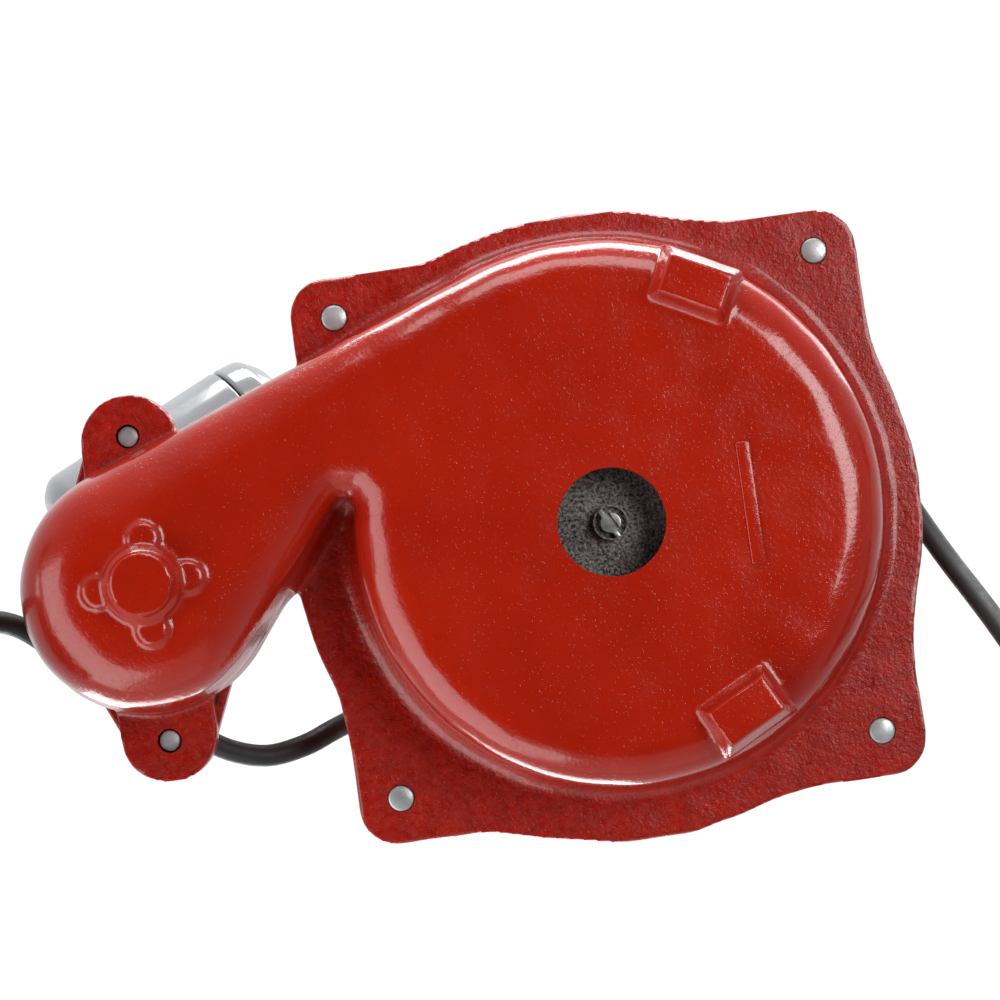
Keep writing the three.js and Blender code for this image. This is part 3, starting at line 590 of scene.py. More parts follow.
def catmull(points, spacing):
    """A smooth line through the points, centripetal, cut about every spacing."""
    points = [Vector(p) for p in points]
    points = [points[0] * 2 - points[1], *points, points[-1] * 2 - points[-2]]
    result = []
    for a, b, c, d in zip(points, points[1:], points[2:], points[3:]):
        knots = [0.0]
        for p, q in ((a, b), (b, c), (c, d)):
            knots.append(knots[-1] + max((q - p).length, 1e-6) ** 0.5)
        count = max(round((c - b).length / spacing), 1)
        for i in range(count):
            t = knots[1] + (knots[2] - knots[1]) * i / count
            level = [a, b, c, d]
            for width in (1, 2):
                level = [
                    p * ((knots[k + width] - t) / (knots[k + width] - knots[k]))
                    + q * ((t - knots[k]) / (knots[k + width] - knots[k]))
                    for k, (p, q) in enumerate(zip(level, level[1:]))
                ]
            share = (t - knots[1]) / (knots[2] - knots[1])
            result.append(level[0] * (1 - share) + level[1] * share)
    result.append(points[-2])
    return result


def swept(points, radius, sides=16):
    """A round bar along the points, closed at both ends, turning as little as it can."""
    angles = [math.tau * k / sides for k in range(sides)]
    points = [Vector(p) for p in points]
    ahead = (points[1] - points[0]).normalized()
    across = ahead.orthogonal().normalized()
    rings = []
    for i, point in enumerate(points):
        before, after = points[max(i - 1, 0)], points[min(i + 1, len(points) - 1)]
        now = (after - before).normalized()
        across = ahead.rotation_difference(now) @ across
        across = (across - now * across.dot(now)).normalized()
        ahead = now
        other = now.cross(across)
        rings.append([point + (across * math.cos(a) + other * math.sin(a)) * radius for a in angles])
    return skin(rings)


def sections(rows, sides=40):
    """A closed body along +X through rounded-rectangle sections (x, width, height, squareness)."""
    rings = []
    for x, width, height, power in rows:
        ring = []
        for k in range(sides):
            a = math.tau * k / sides
            c, s = math.cos(a), math.sin(a)
            u = math.copysign(abs(c) ** (2 / power), c) * width / 2
            v = math.copysign(abs(s) ** (2 / power), s) * height / 2
            ring.append((x, u, v))
        rings.append(ring)
    return skin(rings)


def plug_piece(node, coil, length, width, height):
    """A moulded plug with a ribbed cord entry, lying on the floor, its blades pointing on."""
    rows = [(0, 9.6, 9.6, 2), (0.8, 10.6, 10.6, 2)]
    for rib in range(4):
        start = 2 + rib * 3.6
        size = 11 + rib * 0.7
        rows += [(start, size, size, 2), (start + 2.2, size, size, 2), (start + 2.6, size - 2, size - 2, 2)]
        rows += [(start + 3.2, size - 2, size - 2, 2)]
    rows += [(17.5, 13.5, 13, 2.2), (20, width * 0.72, height * 0.74, 2.8)]
    rows += [(23.5, width * 0.94, height * 0.95, 3.6), (28, width, height, 4.2)]
    rows += [(length - 3, width, height, 4.2), (length - 1, width - 1.2, height - 1.2, 4.2)]
    rows += [(length, width - 3.4, height - 3.4, 4)]
    body = sections(rows)
    pins = []
    for side in (1, -1):
        blade = box_piece(22, 1.6, 6.4, (length + 7, side * 6.35, 1))
        pins.append(bevelled(blade, 0.5, 2))
    ground = turned_by(rod(2.4, -4, 21, sides=24), spin(90, "Y"))
    pins.append(turned_by(ground, Matrix.Translation((length, 0, -7.5))))
    for pin in pins:
        pin.data.materials.clear()
    x, y = polar(coil["turns"][-1][0], coil["exit"])
    heading = coil["exit"] - 90
    ahead = polar(81.5, heading)
    at = coil["at"]
    spot = Matrix.Translation((at[0] + x + ahead[0], at[1] + y + ahead[1], height / 2 + 0.1))
    for piece in (body, *pins):
        piece.data.transform(spot @ spin(heading))
    join_plain(body, pins)
    placed = place(body, node, "root", "plug_plastic", MOULDED)
    placed.data.materials.append(ZINC)
    first_pin = len(placed.data.polygons) - body["pin_faces"]
    for polygon in placed.data.polygons[first_pin:]:
        polygon.material_index = 1
    return placed


def join_plain(piece, others):
    """Adds other closed bodies to a mesh as they are, and remembers how many faces they brought."""
    bm = bmesh.new()
    bm.from_mesh(piece.data)
    own = len(bm.faces)
    for other in others:
        bm.from_mesh(other.data)
    piece["pin_faces"] = len(bm.faces) - own
    bm.to_mesh(piece.data)
    bm.free()
    drop(*others)


def coil_tie(name, coil, degrees):
    """A flat strap closed round a coil's section."""
    inner, outer, top = INNER - CORD_R, OUTER + CORD_R, LAYER_3 + CORD_R
    loop = [(inner - 1, 4), (inner - 1, LAYER_2 + 3), (MIDDLE, LAYER_2 + CORD_R + 1.5),
            (OUTER - 4, top + 0.9), (outer - 2, top + 0.9), (outer + 1, top - 3),
            (outer + 1, 4), (outer - 3, 1.8), (inner + 3, 1.8)]
    path = catmull([(r, 0, z) for r, z in [*loop, *loop[:2]]], 2)
    centre = Vector(((inner + outer) / 2, 0, top / 2))
    rings = []
    for point in path[4:-8]:
        away = (point - centre).normalized()
        section = ((-0.5, -5), (-0.5, 5), (0.6, 5), (0.6, -5))
        rings.append([point + away * t + Vector((0, w, 0)) for t, w in section])
    tie = skin(rings)
    tie.name = name
    turn = Matrix.Translation((coil["at"][0], coil["at"][1], 0)) @ spin(degrees)
    tie.data.transform(TO_FRAME @ turn)
    tie.data.materials.append(MOULDED)
    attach(tie, "root")
    return tie


def cord_piece(name, route, coil):
    points = catmull([*route, *coil["landing"], *coil_points(coil), *free_end(coil)], 3.2)
    piece = swept(points, CORD_R)
    place(piece, name, "root", "cord_rubber", JACKET, extra=(f"{name}_coil", f"{name}_end"))
    return piece, [place_point(*p) for p in points]


power_cord, power_path = cord_piece("power_cord", POWER_ROUTE, POWER_COIL)
float_cord, float_path = cord_piece("float_cord", FLOAT_ROUTE, FLOAT_COIL)
power_plug = plug_piece("power_plug", POWER_COIL, 44, 26, 24)
float_plug = plug_piece("float_plug", FLOAT_COIL, 52, 30, 27)
power_tie = coil_tie("power_cord_tie", POWER_COIL, -40)
float_tie = coil_tie("float_cord_tie", FLOAT_COIL, -120)

GLAND = on_side(45, 0)
relief_profile = [(CORD_R + 0.1, 335.2), (9, 335.2), (9, 339), (8.3, 340)]
for rib in range(6):
    low, wide = 341.5 + rib * 4.6, 8.1 - rib * 0.42
    relief_profile += [(wide, low), (wide - 0.1, low + 2.6)]
    relief_profile += [(wide - 1.3, low + 3.1), (wide - 1.3, low + 4.1)]
relief_profile += [(5.4, 370), (5, 372), (CORD_R + 0.1, 372)]
relief = lathe(rounded(relief_profile, 0.5, 2), 40)
turned_by(relief, Matrix.Translation((GLAND[0], GLAND[1], 0)))
strain_relief = place(relief, "strain_relief", "root", "cord_rubber", MOULDED)


# ---- volute casing -------------------------------------------------------------------------

FLOOR_FACE = 9
FLANGE_LOW = 56
MATING_FACE = 66
PLATE_TOP = 84
VOLUTE_START, VOLUTE_GROWTH = 95, 11
VOLUTE_FROM, VOLUTE_TO = 20, 290.2
NOTCH_ANGLE = 16
DISCHARGE_X = 172
DISCHARGE_R = 46.5
PORT_R = 25.5
EYE_R = 19.5
LUG_Y = 57
LUG_R, LUG_MIDDLE = 18, 54.5
BOSS = (168.9, 1.2)
WALL = 6.5
BOLT_XY = 90
BOLT_HOLE_R, LUG_HOLE_R = 5.05, 4.5
FLANGE_R, FLANGE_HALF, FLANGE_CORNER = 117, 106, 14
FLANGE_Y = -1


def volute_outline(spiral_steps=220, end_steps=72):
    """The outer wall seen from above, anticlockwise: round end, outer neck, spiral, notch."""
    notch = polar(VOLUTE_START, NOTCH_ANGLE)
    reach = math.hypot(DISCHARGE_X - notch[0], notch[1])
    aim = math.atan2(-notch[1], DISCHARGE_X - notch[0]) - math.asin(DISCHARGE_R / reach)
    end_from = math.degrees(aim) - 90
    end_to = 90 - math.degrees(math.asin((VOLUTE_START + VOLUTE_GROWTH - DISCHARGE_R) / DISCHARGE_X))
    outline = []
    for i in range(end_steps + 1):
        x, y = polar(DISCHARGE_R, end_from + (end_to - end_from) * i / end_steps)
        outline.append((DISCHARGE_X + x, y))
    for i in range(spiral_steps + 1):
        turn = VOLUTE_TO - (VOLUTE_TO - VOLUTE_FROM) * i / spiral_steps
        share = (turn - VOLUTE_FROM) / (VOLUTE_TO - VOLUTE_FROM)
        outline.append(polar(VOLUTE_START + VOLUTE_GROWTH * share, -turn))
    outline += [polar(VOLUTE_START, angle) for angle in range(-18, 8, 2)]
    start = Vector(polar(VOLUTE_START, 8.5))
    corner = Vector(notch)
    end = corner + 12 * Vector((math.cos(aim), math.sin(aim)))
    outline += corner_curve(start, corner, end, 12)
    return even(outline, 2.2)


def even(outline, spacing):
    """The same closed line with its points about equally far apart."""
    points = [Vector(p) for p in outline]
    points.append(points[0])
    lengths = [(b - a).length for a, b in zip(points, points[1:])]
    count = round(sum(lengths) / spacing)
    pace = sum(lengths) / count
    result, index, into = [], 0, 0.0
    for _ in range(count):
        while into > lengths[index] and index < len(lengths) - 1:
            into -= lengths[index]
            index += 1
        a, b = points[index], points[index + 1]
        result.append(tuple(a + (b - a) * (into / lengths[index])))
        into += pace
    return result


def inward(outline, distances):
    """Moves each point in along its normal, by its own distance."""
    count = len(outline)
    result = []
    for i, (x, y) in enumerate(outline):
        before, after = outline[(i - 2) % count], outline[(i + 2) % count]
        ahead, across = after[0] - before[0], after[1] - before[1]
        run = math.hypot(ahead, across)
        result.append((x - across / run * distances[i], y + ahead / run * distances[i]))
    return result


def casing_skin(outline):
    """The volute's outside: flat underneath with a full round edge, drafted up to the flange.
    The round grows towards the end under the discharge, and the wall flares into the flange."""
    rounds, heights = [], []
    for x, y in outline:
        towards = smooth_step((x - 70) / 110)
        rounds.append(17 + 10 * towards)
        heights.append(16 + 8 * towards)
    levels = []
    for k in range(15):
        a = math.radians(k * 6)
        levels.append((1 - math.sin(a), 1 - math.cos(a)))
    levels = [(inset, rise) for inset, rise in levels if rise < 1]
    rings = []
    for inset, rise in levels:
        moved = inward(outline, [2.5 + r * inset for r in rounds])
        rings.append([(x, y, FLOOR_FACE + h * rise) for (x, y), h in zip(moved, heights)])
    # Beyond the flange the wall runs straight up, with nothing to flare into.
    held = [1 - smooth_step((math.hypot(x, y) - 108) / 16) for x, y in outline]
    for height, flare in ((40, -1.1), (47, -0.6), (51, 0), (53.5, 1.2), (55.2, 3.2), (56.2, 6)):
        moved = inward(outline, [-flare * (share if flare > 0 else 1) for share in held])
        rings.append([(x, y, height) for x, y in moved])
    rings.append([(x, y, MATING_FACE + 2) for x, y, _ in rings[-1]])
    return skin(rings)


def flange_outline(shrink=0, waver=0.0, steps=480):
    """A disc and a rounded square together, with soft waists between the corner ears."""
    outline = []
    sharpness = 40
    centre = FLANGE_HALF - FLANGE_CORNER
    for i in range(steps):
        angle = 360 * i / steps
        folded = math.radians(45 - abs(45 - angle % 90))
        along = centre * (math.cos(folded) + math.sin(folded))
        inside = along ** 2 - 2 * centre ** 2 + FLANGE_CORNER ** 2
        square = FLANGE_HALF / math.cos(folded)
        if square * math.sin(folded) > centre:
            square = along + math.sqrt(max(inside, 0))
        radius = (FLANGE_R ** sharpness + square ** sharpness) ** (1 / sharpness) - shrink
        x, y = polar(radius, angle)
        x, y = polar(radius + waver * noise.noise(Vector((x / 16, y / 16, 3.7))), angle)
        outline.append((x, y + FLANGE_Y))
    return outline


def oval_outline(half, end, steps=28):
    """A round body and two round ends either side of it, joined by straight flanks."""
    outline = []
    spread = math.degrees(math.acos((half - end) / LUG_Y))
    for side in (1, -1):
        for centre, radius, first, last in (
            (0, half, -90 + spread, 90 - spread), (LUG_Y * side, end, 90 - spread, 90 + spread),
        ):
            for i in range(steps):
                angle = first + (last - first) * i / steps
                x, y = polar(radius, angle if side > 0 else angle + 180)
                outline.append((DISCHARGE_X + x, centre + y))
    return outline


def pad_foot(angle, radius):
    rows = []
    for length, depth, z in ((23.6, 14, 0), (29, 21, 9.5), (31, 24, 26)):
        rows.append([
            (v * depth / 2 + radius, u * length / 2, z) for u, v in ((-1, -1), (-1, 1), (1, 1), (1, -1))
        ])
    return turned_by(skin(rows), spin(angle))


def boss_foot():
    """A round foot with a wider base and four lobes round it."""
    profile = [(0, 0), (11.1, 0), (11.6, 3), (13.6, 4.6), (14.3, 6), (14.5, 30), (0, 30)]
    foot = lathe(profile, 96)
    turned_by(foot, Matrix.Translation((*BOSS, 0)))
    lobes = []
    for angle in (98, 179, 266, 358):
        x, y = polar(16.3, angle)
        lobe = lathe([(0, 6.5), (4.6, 6.5), (5.8, 7.2), (6.2, 8.4), (6.4, 30), (0, 30)], 48)
        lobes.append(turned_by(lobe, Matrix.Translation((BOSS[0] + x, BOSS[1] + y, 0))))
    return combined("UNION", foot, lobes)


def holes(radius, low, high, places, sides=40):
    return [rod(radius, low, high, x, y, sides) for x, y in places]


BOLT_PLACES = [(sx * BOLT_XY, sy * BOLT_XY) for sx, sy in ((1, 1), (-1, 1), (-1, -1), (1, -1))]
LUG_PLACES = [(DISCHARGE_X, LUG_Y), (DISCHARGE_X, -LUG_Y)]


def mark_rough(piece, measure):
    """Stores how coarsely each vertex is cast, from 0 to 1."""
    mesh = piece.data
    layer = mesh.attributes.new("rough", "FLOAT", "POINT")
    layer.data.foreach_set("value", [measure(v.co) for v in mesh.vertices])


def volute_casing():
    outline = volute_outline()
    blank = MATING_FACE + 2
    solids = [casing_skin(outline), prism(flange_outline(waver=0.8), FLANGE_LOW, blank)]
    for side in (1, -1):
        solids.append(rod(LUG_R, FLANGE_LOW, blank, DISCHARGE_X, side * LUG_MIDDLE, 72))
        solids.append(box_piece(2 * LUG_R, LUG_MIDDLE - 30, blank - FLANGE_LOW,
                                (DISCHARGE_X, side * (LUG_MIDDLE + 30) / 2, (FLANGE_LOW + blank) / 2)))
    solids += [pad_foot(117.3, 89.9), pad_foot(242.7, 82.3), boss_foot()]
    whole = cast(solids, VOXEL, 6, 0.35)
    combined("UNION", whole, [bevelled(box_piece(5, 44, 6, (-50, 0, FLOOR_FACE + 2.2)), 0.5)])
    whole.data.transform(Matrix.Translation((0, 0, max(0, -min(v.co.z for v in whole.data.vertices)))))
    hollow = [
        [(x, y, z) for x, y in inward(outline, [d] * len(outline))]
        for d, z in ((18 + WALL, 15), (9 + WALL, 19), (2.5 + WALL, 28), (WALL, 40), (WALL, 57))
    ]
    tools = [skin(hollow), rod(88, 24, blank + 9, sides=144), rod(EYE_R, -1, 20, sides=120)]
    tools += [rod(PORT_R, 50, blank + 9, DISCHARGE_X, 0, 96)]
    tools += holes(BOLT_HOLE_R, 50, blank + 9, BOLT_PLACES)
    tools += holes(LUG_HOLE_R, 50, blank + 9, LUG_PLACES)
    tools.append(box_piece(600, 500, 20, (40, 0, MATING_FACE + 10)))
    combined("DIFFERENCE", whole, tools)
    mark_rough(whole, lambda co: smooth_step((co.z - 50.5) / 4))
    place(whole, "volute_casing", "root", "red_paint", PAINT, smooth=38)


volute_casing()


# ---- seal plate, motor and cap -------------------------------------------------------------

HOUSING_R = 86
TOP_FLANGE_R = 98
CAP_SCREW_PLACES = [polar(92.5, 14 + 90 * i) for i in range(4)]


def flange_slab(low, high, waver):
    return bevelled(prism(flange_outline(1.5, waver), low, high), 1.4, 3)


def plain(piece, node, slot="red_paint", material=None, body="root", coarse=0.0, smooth=35):
    material = material or PAINT
    if material == PAINT:
        mark_rough(piece, lambda co: coarse)
    return place(piece, node, body, slot, material, smooth=smooth)


def seal_plate():
    slab = flange_slab(67.6, PLATE_TOP, 0.6)
    hub = lathe([(0, 60), (87.5, 60), (87.5, 70), (34, 84), (30, 118), (0, 118)], 120)
    tools = [rod(17.5, 55, 92), rod(10.5, 50, 130), rod(20.3, 104, 130)]
    tools += holes(BOLT_HOLE_R, 60, 90, BOLT_PLACES)
    combined("UNION", slab, [hub])
    plain(combined("DIFFERENCE", slab, tools), "seal_plate", coarse=0.6)


def motor_housing():
    slab = flange_slab(84.3, 98, 0.6)
    profile = [(0, 84.3), (90, 84.3), (90, 100), (HOUSING_R, 106), (HOUSING_R, 272),
               (TOP_FLANGE_R, 281), (TOP_FLANGE_R, 290), (0, 290)]
    shell = lathe(rounded(profile, 5, 6), 160)
    tools = [rod(81, 80, 300, sides=144), *holes(BOLT_HOLE_R, 80, 102, BOLT_PLACES)]
    tools += holes(2.8, 270, 300, CAP_SCREW_PLACES, 24)
    combined("UNION", slab, [shell])
    combined("DIFFERENCE", slab, tools)
    mark_rough(slab, lambda co: 0.7 * (1 - smooth_step((co.z - 96) / 4)))
    place(slab, "motor_housing", "root", "red_paint", PAINT)


HANDLE_PLACES = [polar(50, CORD_SIDE + 90), polar(-50, CORD_SIDE + 90)]
PLUG_PLACE = polar(55, 149)
CAP_SEAT, CAP_TOP = 299, 326


def motor_cap():
    profile = [(0, 291.8), (TOP_FLANGE_R, 291.8), (TOP_FLANGE_R, CAP_SEAT), (87, CAP_SEAT),
               (85, 313), (78, 322), (66, CAP_TOP), (0, CAP_TOP)]
    dome = lathe(rounded(profile, 3.5, 5), 160)
    tools = [lathe([(0, 280), (80, 280), (80, 306), (72, 316), (62, 320), (0, 320)], 120)]
    tools += [rod(10.3, 310, 340, GLAND[0], GLAND[1]), rod(6.3, 310, 340, *PLUG_PLACE)]
    tools += holes(3.3, 310, 340, HANDLE_PLACES, 24)
    tools += holes(3.3, 270, 310, CAP_SCREW_PLACES, 24)
    plain(combined("DIFFERENCE", dome, tools), "motor_cap")


def washer(node, profile, material=RUBBER, slot="black_rubber", sides=120):
    return place(lathe(profile, sides), node, "root", slot, material)


seal_plate()
motor_housing()
motor_cap()
washer("volute_gasket", [(89, 66.3), (94, 66.3), (94, 67.3), (89, 67.3)])
washer("cap_gasket", [(82, 290.3), (89, 290.3), (89, 291.5), (82, 291.5)])


# ---- discharge flange ----------------------------------------------------------------------

def discharge_holes():
    return [rod(26.5, 50, 110, DISCHARGE_X, 0, 96), *holes(LUG_HOLE_R, 50, 110, LUG_PLACES)]


def discharge_flange():
    body = bevelled(prism(oval_outline(38, 15.5), 67.6, 78), 1.2)
    hub = bevelled(rod(36, 70, PLATE_TOP, DISCHARGE_X, 0, 120), 1.2)
    combined("UNION", body, [hub])
    plain(combined("DIFFERENCE", body, discharge_holes()), "discharge_flange", coarse=0.5)
    gasket = prism(oval_outline(34, 13), MATING_FACE + 0.3, 67.3)
    combined("DIFFERENCE", gasket, discharge_holes())
    place(gasket, "discharge_gasket", "root", "black_rubber", RUBBER)


discharge_flange()


# ---- screws --------------------------------------------------------------------------------

def hex_screw(node, head, head_height, shank, low, seat, x, y):
    """A hexagon screw standing head up, its head chamfered and its end slightly rounded."""
    hexagon = rod(head, seat, seat + head_height, sides=6)
    cone = lathe([(0, seat - 1), (head * 1.2, seat - 1), (head * 1.2, seat + head_height - 1.4),
                  (head * 0.84, seat + head_height), (0, seat + head_height)], 48)
    combined("INTERSECT", bevelled(hexagon, 0.25, 2), [cone])
    body = lathe([(0, low), (shank - 0.9, low), (shank - 0.3, low + 0.3), (shank, low + 0.9),
                  (shank, seat + 1), (0, seat + 1)], 40)
    combined("UNION", hexagon, [body])
    turned_by(hexagon, Matrix.Translation((x, y, 0)) @ spin(17))
    return place(hexagon, node, "root", "zinc_steel", ZINC, smooth=30)


for i, (x, y) in enumerate(BOLT_PLACES):
    hex_screw(f"flange_bolt_{i + 1}", 8, 6.4, 4.75, 55.2, 101.6 if i == 0 else 98.3, x, y)
for i, (x, y) in enumerate(CAP_SCREW_PLACES):
    hex_screw(f"cap_screw_{i + 1}", 5, 3.6, 2.5, 280, CAP_SEAT + 0.3, x, y)
for i, (x, y) in enumerate(HANDLE_PLACES):
    hex_screw(f"handle_screw_{i + 1}", 6, 4.4, 3, 312, CAP_TOP + 3.6, x, y)
for i, (x, y) in enumerate(LUG_PLACES):
    hex_screw(f"discharge_bolt_{i + 1}", 7, 5.2, 4, 58, 78.3, x, y)
hex_screw("oil_plug", 9, 6.7, 6, 314, 326.3, *PLUG_PLACE)


# ---- handle, gland and float bracket -------------------------------------------------------

def lifting_handle():
    """A flat steel strap bent up, across and down, with its feet turned in under the screws."""
    middle, bend, low, top = 58.5, 12.5, CAP_TOP + 1.8, 372.5
    path = [(39, low), (50, low), (middle, low)]
    path += [(middle, low + 4), (middle, top - bend - 6)]
    path += [(middle - bend + bend * math.cos(a), top - bend + bend * math.sin(a))
             for a in (math.radians(k * 15) for k in range(7))]
    path = rounded_path(path, 4.5)
    path += [(-x, z) for x, z in path[::-1]]
    rows = []
    for i, (x, z) in enumerate(path):
        before, after = Vector(path[max(i - 1, 0)]), Vector(path[min(i + 1, len(path) - 1)])
        ahead = (after - before).normalized()
        out = Vector((-ahead.y, ahead.x)) * 1.5
        section = ((1, -10), (1, 10), (-1, 10), (-1, -10))
        rows.append([(x + out.x * s, w, z + out.y * s) for s, w in section])
    strap = skin(rows)
    strap = bevelled(strap, 0.6, 3)
    turned_by(strap, spin(CORD_SIDE + 90))
    combined("DIFFERENCE", strap, holes(3.3, 310, 340, HANDLE_PLACES, 24))
    place(strap, "lifting_handle", "root", "stainless", STAINLESS, smooth=40)


def rounded_path(path, radius, steps=5):
    """An open line with its corners rounded off."""
    result = [path[0]]
    for before, spot, after in zip(path, path[1:], path[2:]):
        corner = Vector(spot)
        back, on = Vector(before) - corner, Vector(after) - corner
        if back.angle(on) > math.radians(150):
            result.append(spot)
            continue
        reach = min(radius, back.length * 0.6, on.length * 0.6)
        start, end = corner + back.normalized() * reach, corner + on.normalized() * reach
        result += corner_curve(start, corner, end, steps)
    result.append(path[-1])
    return result


def cord_gland():
    body = bevelled(rod(14, CAP_TOP + 0.3, 335, sides=6), 0.8)
    combined("UNION", body, [rod(10, 314, 330)])
    combined("DIFFERENCE", body, [rod(CORD_R + 0.3, 300, 340)])
    turned_by(body, Matrix.Translation((GLAND[0], GLAND[1], 0)))
    place(body, "cord_gland", "root", "stainless", STAINLESS, smooth=30)


UPRIGHT = (PIVOT.x + PIVOT.y) * math.sqrt(0.5) - CORD_R - 5
CLAMP_ALONG = (PIVOT.y - PIVOT.x) * math.sqrt(0.5)
SCREW_RISE, SCREW_SIDE = 12.5, 9


def float_bracket():
    tab_length, low = 136 - UPRIGHT, 98.3
    height = PIVOT.z + SCREW_RISE + 6 - low
    tab = box_piece(tab_length, 22, 3, (UPRIGHT - 1.5 + tab_length / 2, 2, low + 1.5))
    upright = box_piece(3, 26, height, (UPRIGHT, 4, low + height / 2))
    hole = turned_by(rod(2.6, -10, 10), spin(90, "Y"))
    turned_by(hole, Matrix.Translation((UPRIGHT, CLAMP_ALONG + SCREW_SIDE, PIVOT.z + SCREW_RISE)))
    bolt = turned_by(rod(BOLT_HOLE_R, 90, 110, BOLT_XY, BOLT_XY), spin(-45))
    combined("UNION", tab, [upright])
    bevelled(tab, 0.7)
    combined("DIFFERENCE", tab, [hole, bolt])
    place(turned_by(tab, spin(45)), "float_bracket", "root", "stainless", STAINLESS, smooth=40)


def float_clamp():
    sleeve = turned_by(rod(CORD_R + 3, 2.5, 16), spin(-90, "X"))
    ear = box_piece(3, 13.5, 18, (-CORD_R - 1.7, 9.25, 9))
    combined("UNION", sleeve, [ear])
    bevelled(sleeve, 0.5)
    bore = turned_by(rod(CORD_R + 0.3, -5, 25), spin(-90, "X"))
    hole = turned_by(rod(2.6, -10, 10), spin(90, "Y"))
    turned_by(hole, Matrix.Translation((-6, SCREW_SIDE, SCREW_RISE)))
    combined("DIFFERENCE", sleeve, [bore, hole])
    turned_by(sleeve, Matrix.Translation(PIVOT) @ spin(45))
    place(sleeve, "float_clamp", "root", "stainless", STAINLESS, smooth=40)


def clamp_screw():
    screw = lathe(rounded([(0, -6.5), (2.2, -6.5), (2.2, 1.2), (4.4, 1.2), (4.4, 4), (0, 4)], 0.5, 3), 40)
    combined("DIFFERENCE", screw, [box_piece(12, 1.1, 1.6, (0, 0, 4))])
    turned_by(screw, spin(90, "Y"))
    radial = (PIVOT.x + PIVOT.y) * math.sqrt(0.5) - CORD_R - 0.9
    spot = Matrix.Translation((radial, CLAMP_ALONG + SCREW_SIDE, PIVOT.z + SCREW_RISE))
    place(turned_by(screw, spin(45) @ spot), "clamp_screw", "root", "zinc_steel", ZINC)


lifting_handle()
cord_gland()
float_bracket()
float_clamp()
clamp_screw()


# ---- impeller ------------------------------------------------------------------------------

def impeller():
    profile = [(0, 26.5), (8, 26.5), (23, 29.5), (27, 37), (36, 46),
               (75, 51.5), (75, 56), (14, 58.5), (0, 58.5)]
    hub = lathe(rounded(profile, 2, 4), 144)
    vanes = []
    for start in (0, 180):
        outer, inner = [], []
        for i in range(31):
            radius = 26 + 47 * i / 30
            angle = start - 130 * (i / 30) ** 0.8
            half = math.degrees(3.2 / radius)
            outer.append(polar(radius, angle + half))
            inner.insert(0, polar(radius, angle - half))
        vanes.append(prism(inner + outer, 20, 53))
    wheel = cast([hub, *vanes], VOXEL, 2, 0.5)
    combined("DIFFERENCE", wheel, [rod(8.8, 31, 60), rod(4.3, 20, 33)])
    place(wheel, "impeller", "rotor", "raw_iron", IRON, smooth=50)


def impeller_screw():
    """A slotted head with a groove round its middle and a driving bar beside the slot."""
    profile = [(0, 21.5), (3.7, 21.5), (3.7, 25.4), (5.8, 25.4), (5.8, 22.4), (6.4, 22.4), (6.4, 26.2),
               (4, 26.2), (4, 30.7), (0, 30.7)]
    head = lathe(rounded(profile, 0.25, 3), 96)
    bar = bevelled(box_piece(11.9, 1.6, 4.2, (0, -0.7, 23.6)), 0.2, 2)
    slot = box_piece(7.6, 1.4, 1.8, (0, 0.9, 21.9))
    combined("UNION", head, [bar])
    combined("DIFFERENCE", head, [slot, rod(0.9, 20, 22.8, sides=32)])
    # Faces of the groove and the rim round it, away from the bar, take the darker iron material: painted
    # shade in the recess.
    shaded_recess_faces = [math.hypot(face.center.x, face.center.y) > 3.8 and abs(face.center.y + 0.7) > 0.85
            for face in head.data.polygons]
    screw = place(turned_by(head, spin(61)), "impeller_screw", "rotor", "stainless", STAINLESS, smooth=35)
    screw.data.materials.append(IRON)
    for face, iron in zip(screw.data.polygons, shaded_recess_faces):
        face.material_index = int(iron)


impeller()
impeller_screw()


# ---- float switch --------------------------------------------------------------------------

TETHER, FLOAT_END, SEAM = 55, 155, 72
FLOAT_R = 32


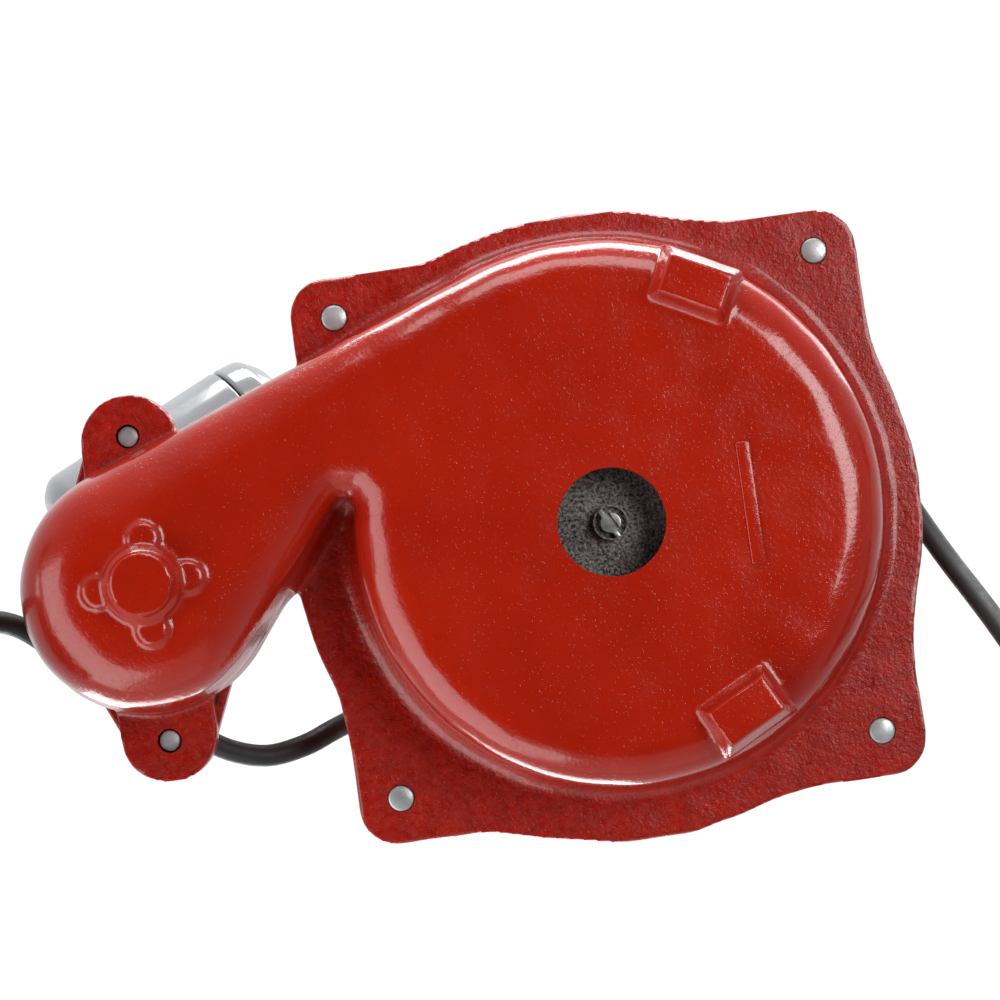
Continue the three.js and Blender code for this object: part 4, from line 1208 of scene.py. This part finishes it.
def on_arm(piece):
    """From a profile turned about Z, with 0 at the pivot, to the way the float points."""
    turn = Vector((0, 0, 1)).rotation_difference(FLOAT_DIR).to_matrix().to_4x4()
    return turned_by(piece, Matrix.Translation(PIVOT) @ turn)


def float_switch():
    neck, far = TETHER - 14, FLOAT_END
    tether = on_arm(lathe([(0, -3), (2.4, -2.4), (CORD_R, 0), (CORD_R, neck + 9.5), (0, neck + 9.5)], 32))
    place(tether, "float_tether", "float_arm", "cord_rubber", JACKET)
    cap_profile = [(0, neck), (7, neck), (7.2, neck + 4), (8.5, TETHER), (14, TETHER + 0.4),
                   (24, TETHER + 1), (31, TETHER + 7), (FLOAT_R, SEAM - 0.3), (28, SEAM - 0.3),
                   (28, TETHER + 10), (0, TETHER + 10)]
    cap = on_arm(lathe(rounded(cap_profile, 2, 5), 120))
    place(cap, "float_cap", "float_arm", "float_plastic", FLOAT)
    body_profile = [(0, far), (26, far), (FLOAT_R, far - 6), (FLOAT_R, SEAM + 0.3),
                    (29, SEAM + 0.3), (29, far - 7), (24, far - 3), (0, far - 3)]
    body = on_arm(lathe(rounded(body_profile, 3, 6), 120))
    place(body, "float_body", "float_arm", "float_plastic", FLOAT)
    tube = on_arm(lathe([(9.6, SEAM + 3), (12, SEAM + 3), (12, far - 5), (9.6, far - 5)], 48))
    place(tube, "switch_tube", "float_arm", "black_plastic", BLACK)
    arc = [math.radians(k * 7.5) for k in range(1, 24)]
    ball_profile = [(9 * math.sin(a), far - 13 - 9 * math.cos(a)) for a in arc]
    ball = on_arm(lathe([(0, far - 22), *ball_profile, (0, far - 4)], 48))
    place(ball, "float_ball", "switch_ball", "stainless", STAINLESS)


float_switch()


# ---- parts kept as they came ---------------------------------------------------------------

INSIDES = {
    "shaft": STAINLESS, "seal_spring": STAINLESS, "bearing_lower": STAINLESS, "bearing_upper": STAINLESS,
    "rotor_core": LAMINATION, "stator_core": LAMINATION, "winding_lower": COPPER, "winding_upper": COPPER,
    "seal_head": RUBBER, "seal_seat": CERAMIC, "upper_bracket": IRON, "overload_protector": BLACK,
    "run_capacitor": CAN,
}
for node, material in INSIDES.items():
    mesh = bpy.data.objects[node].data
    mesh.materials.clear()
    mesh.materials.append(material)
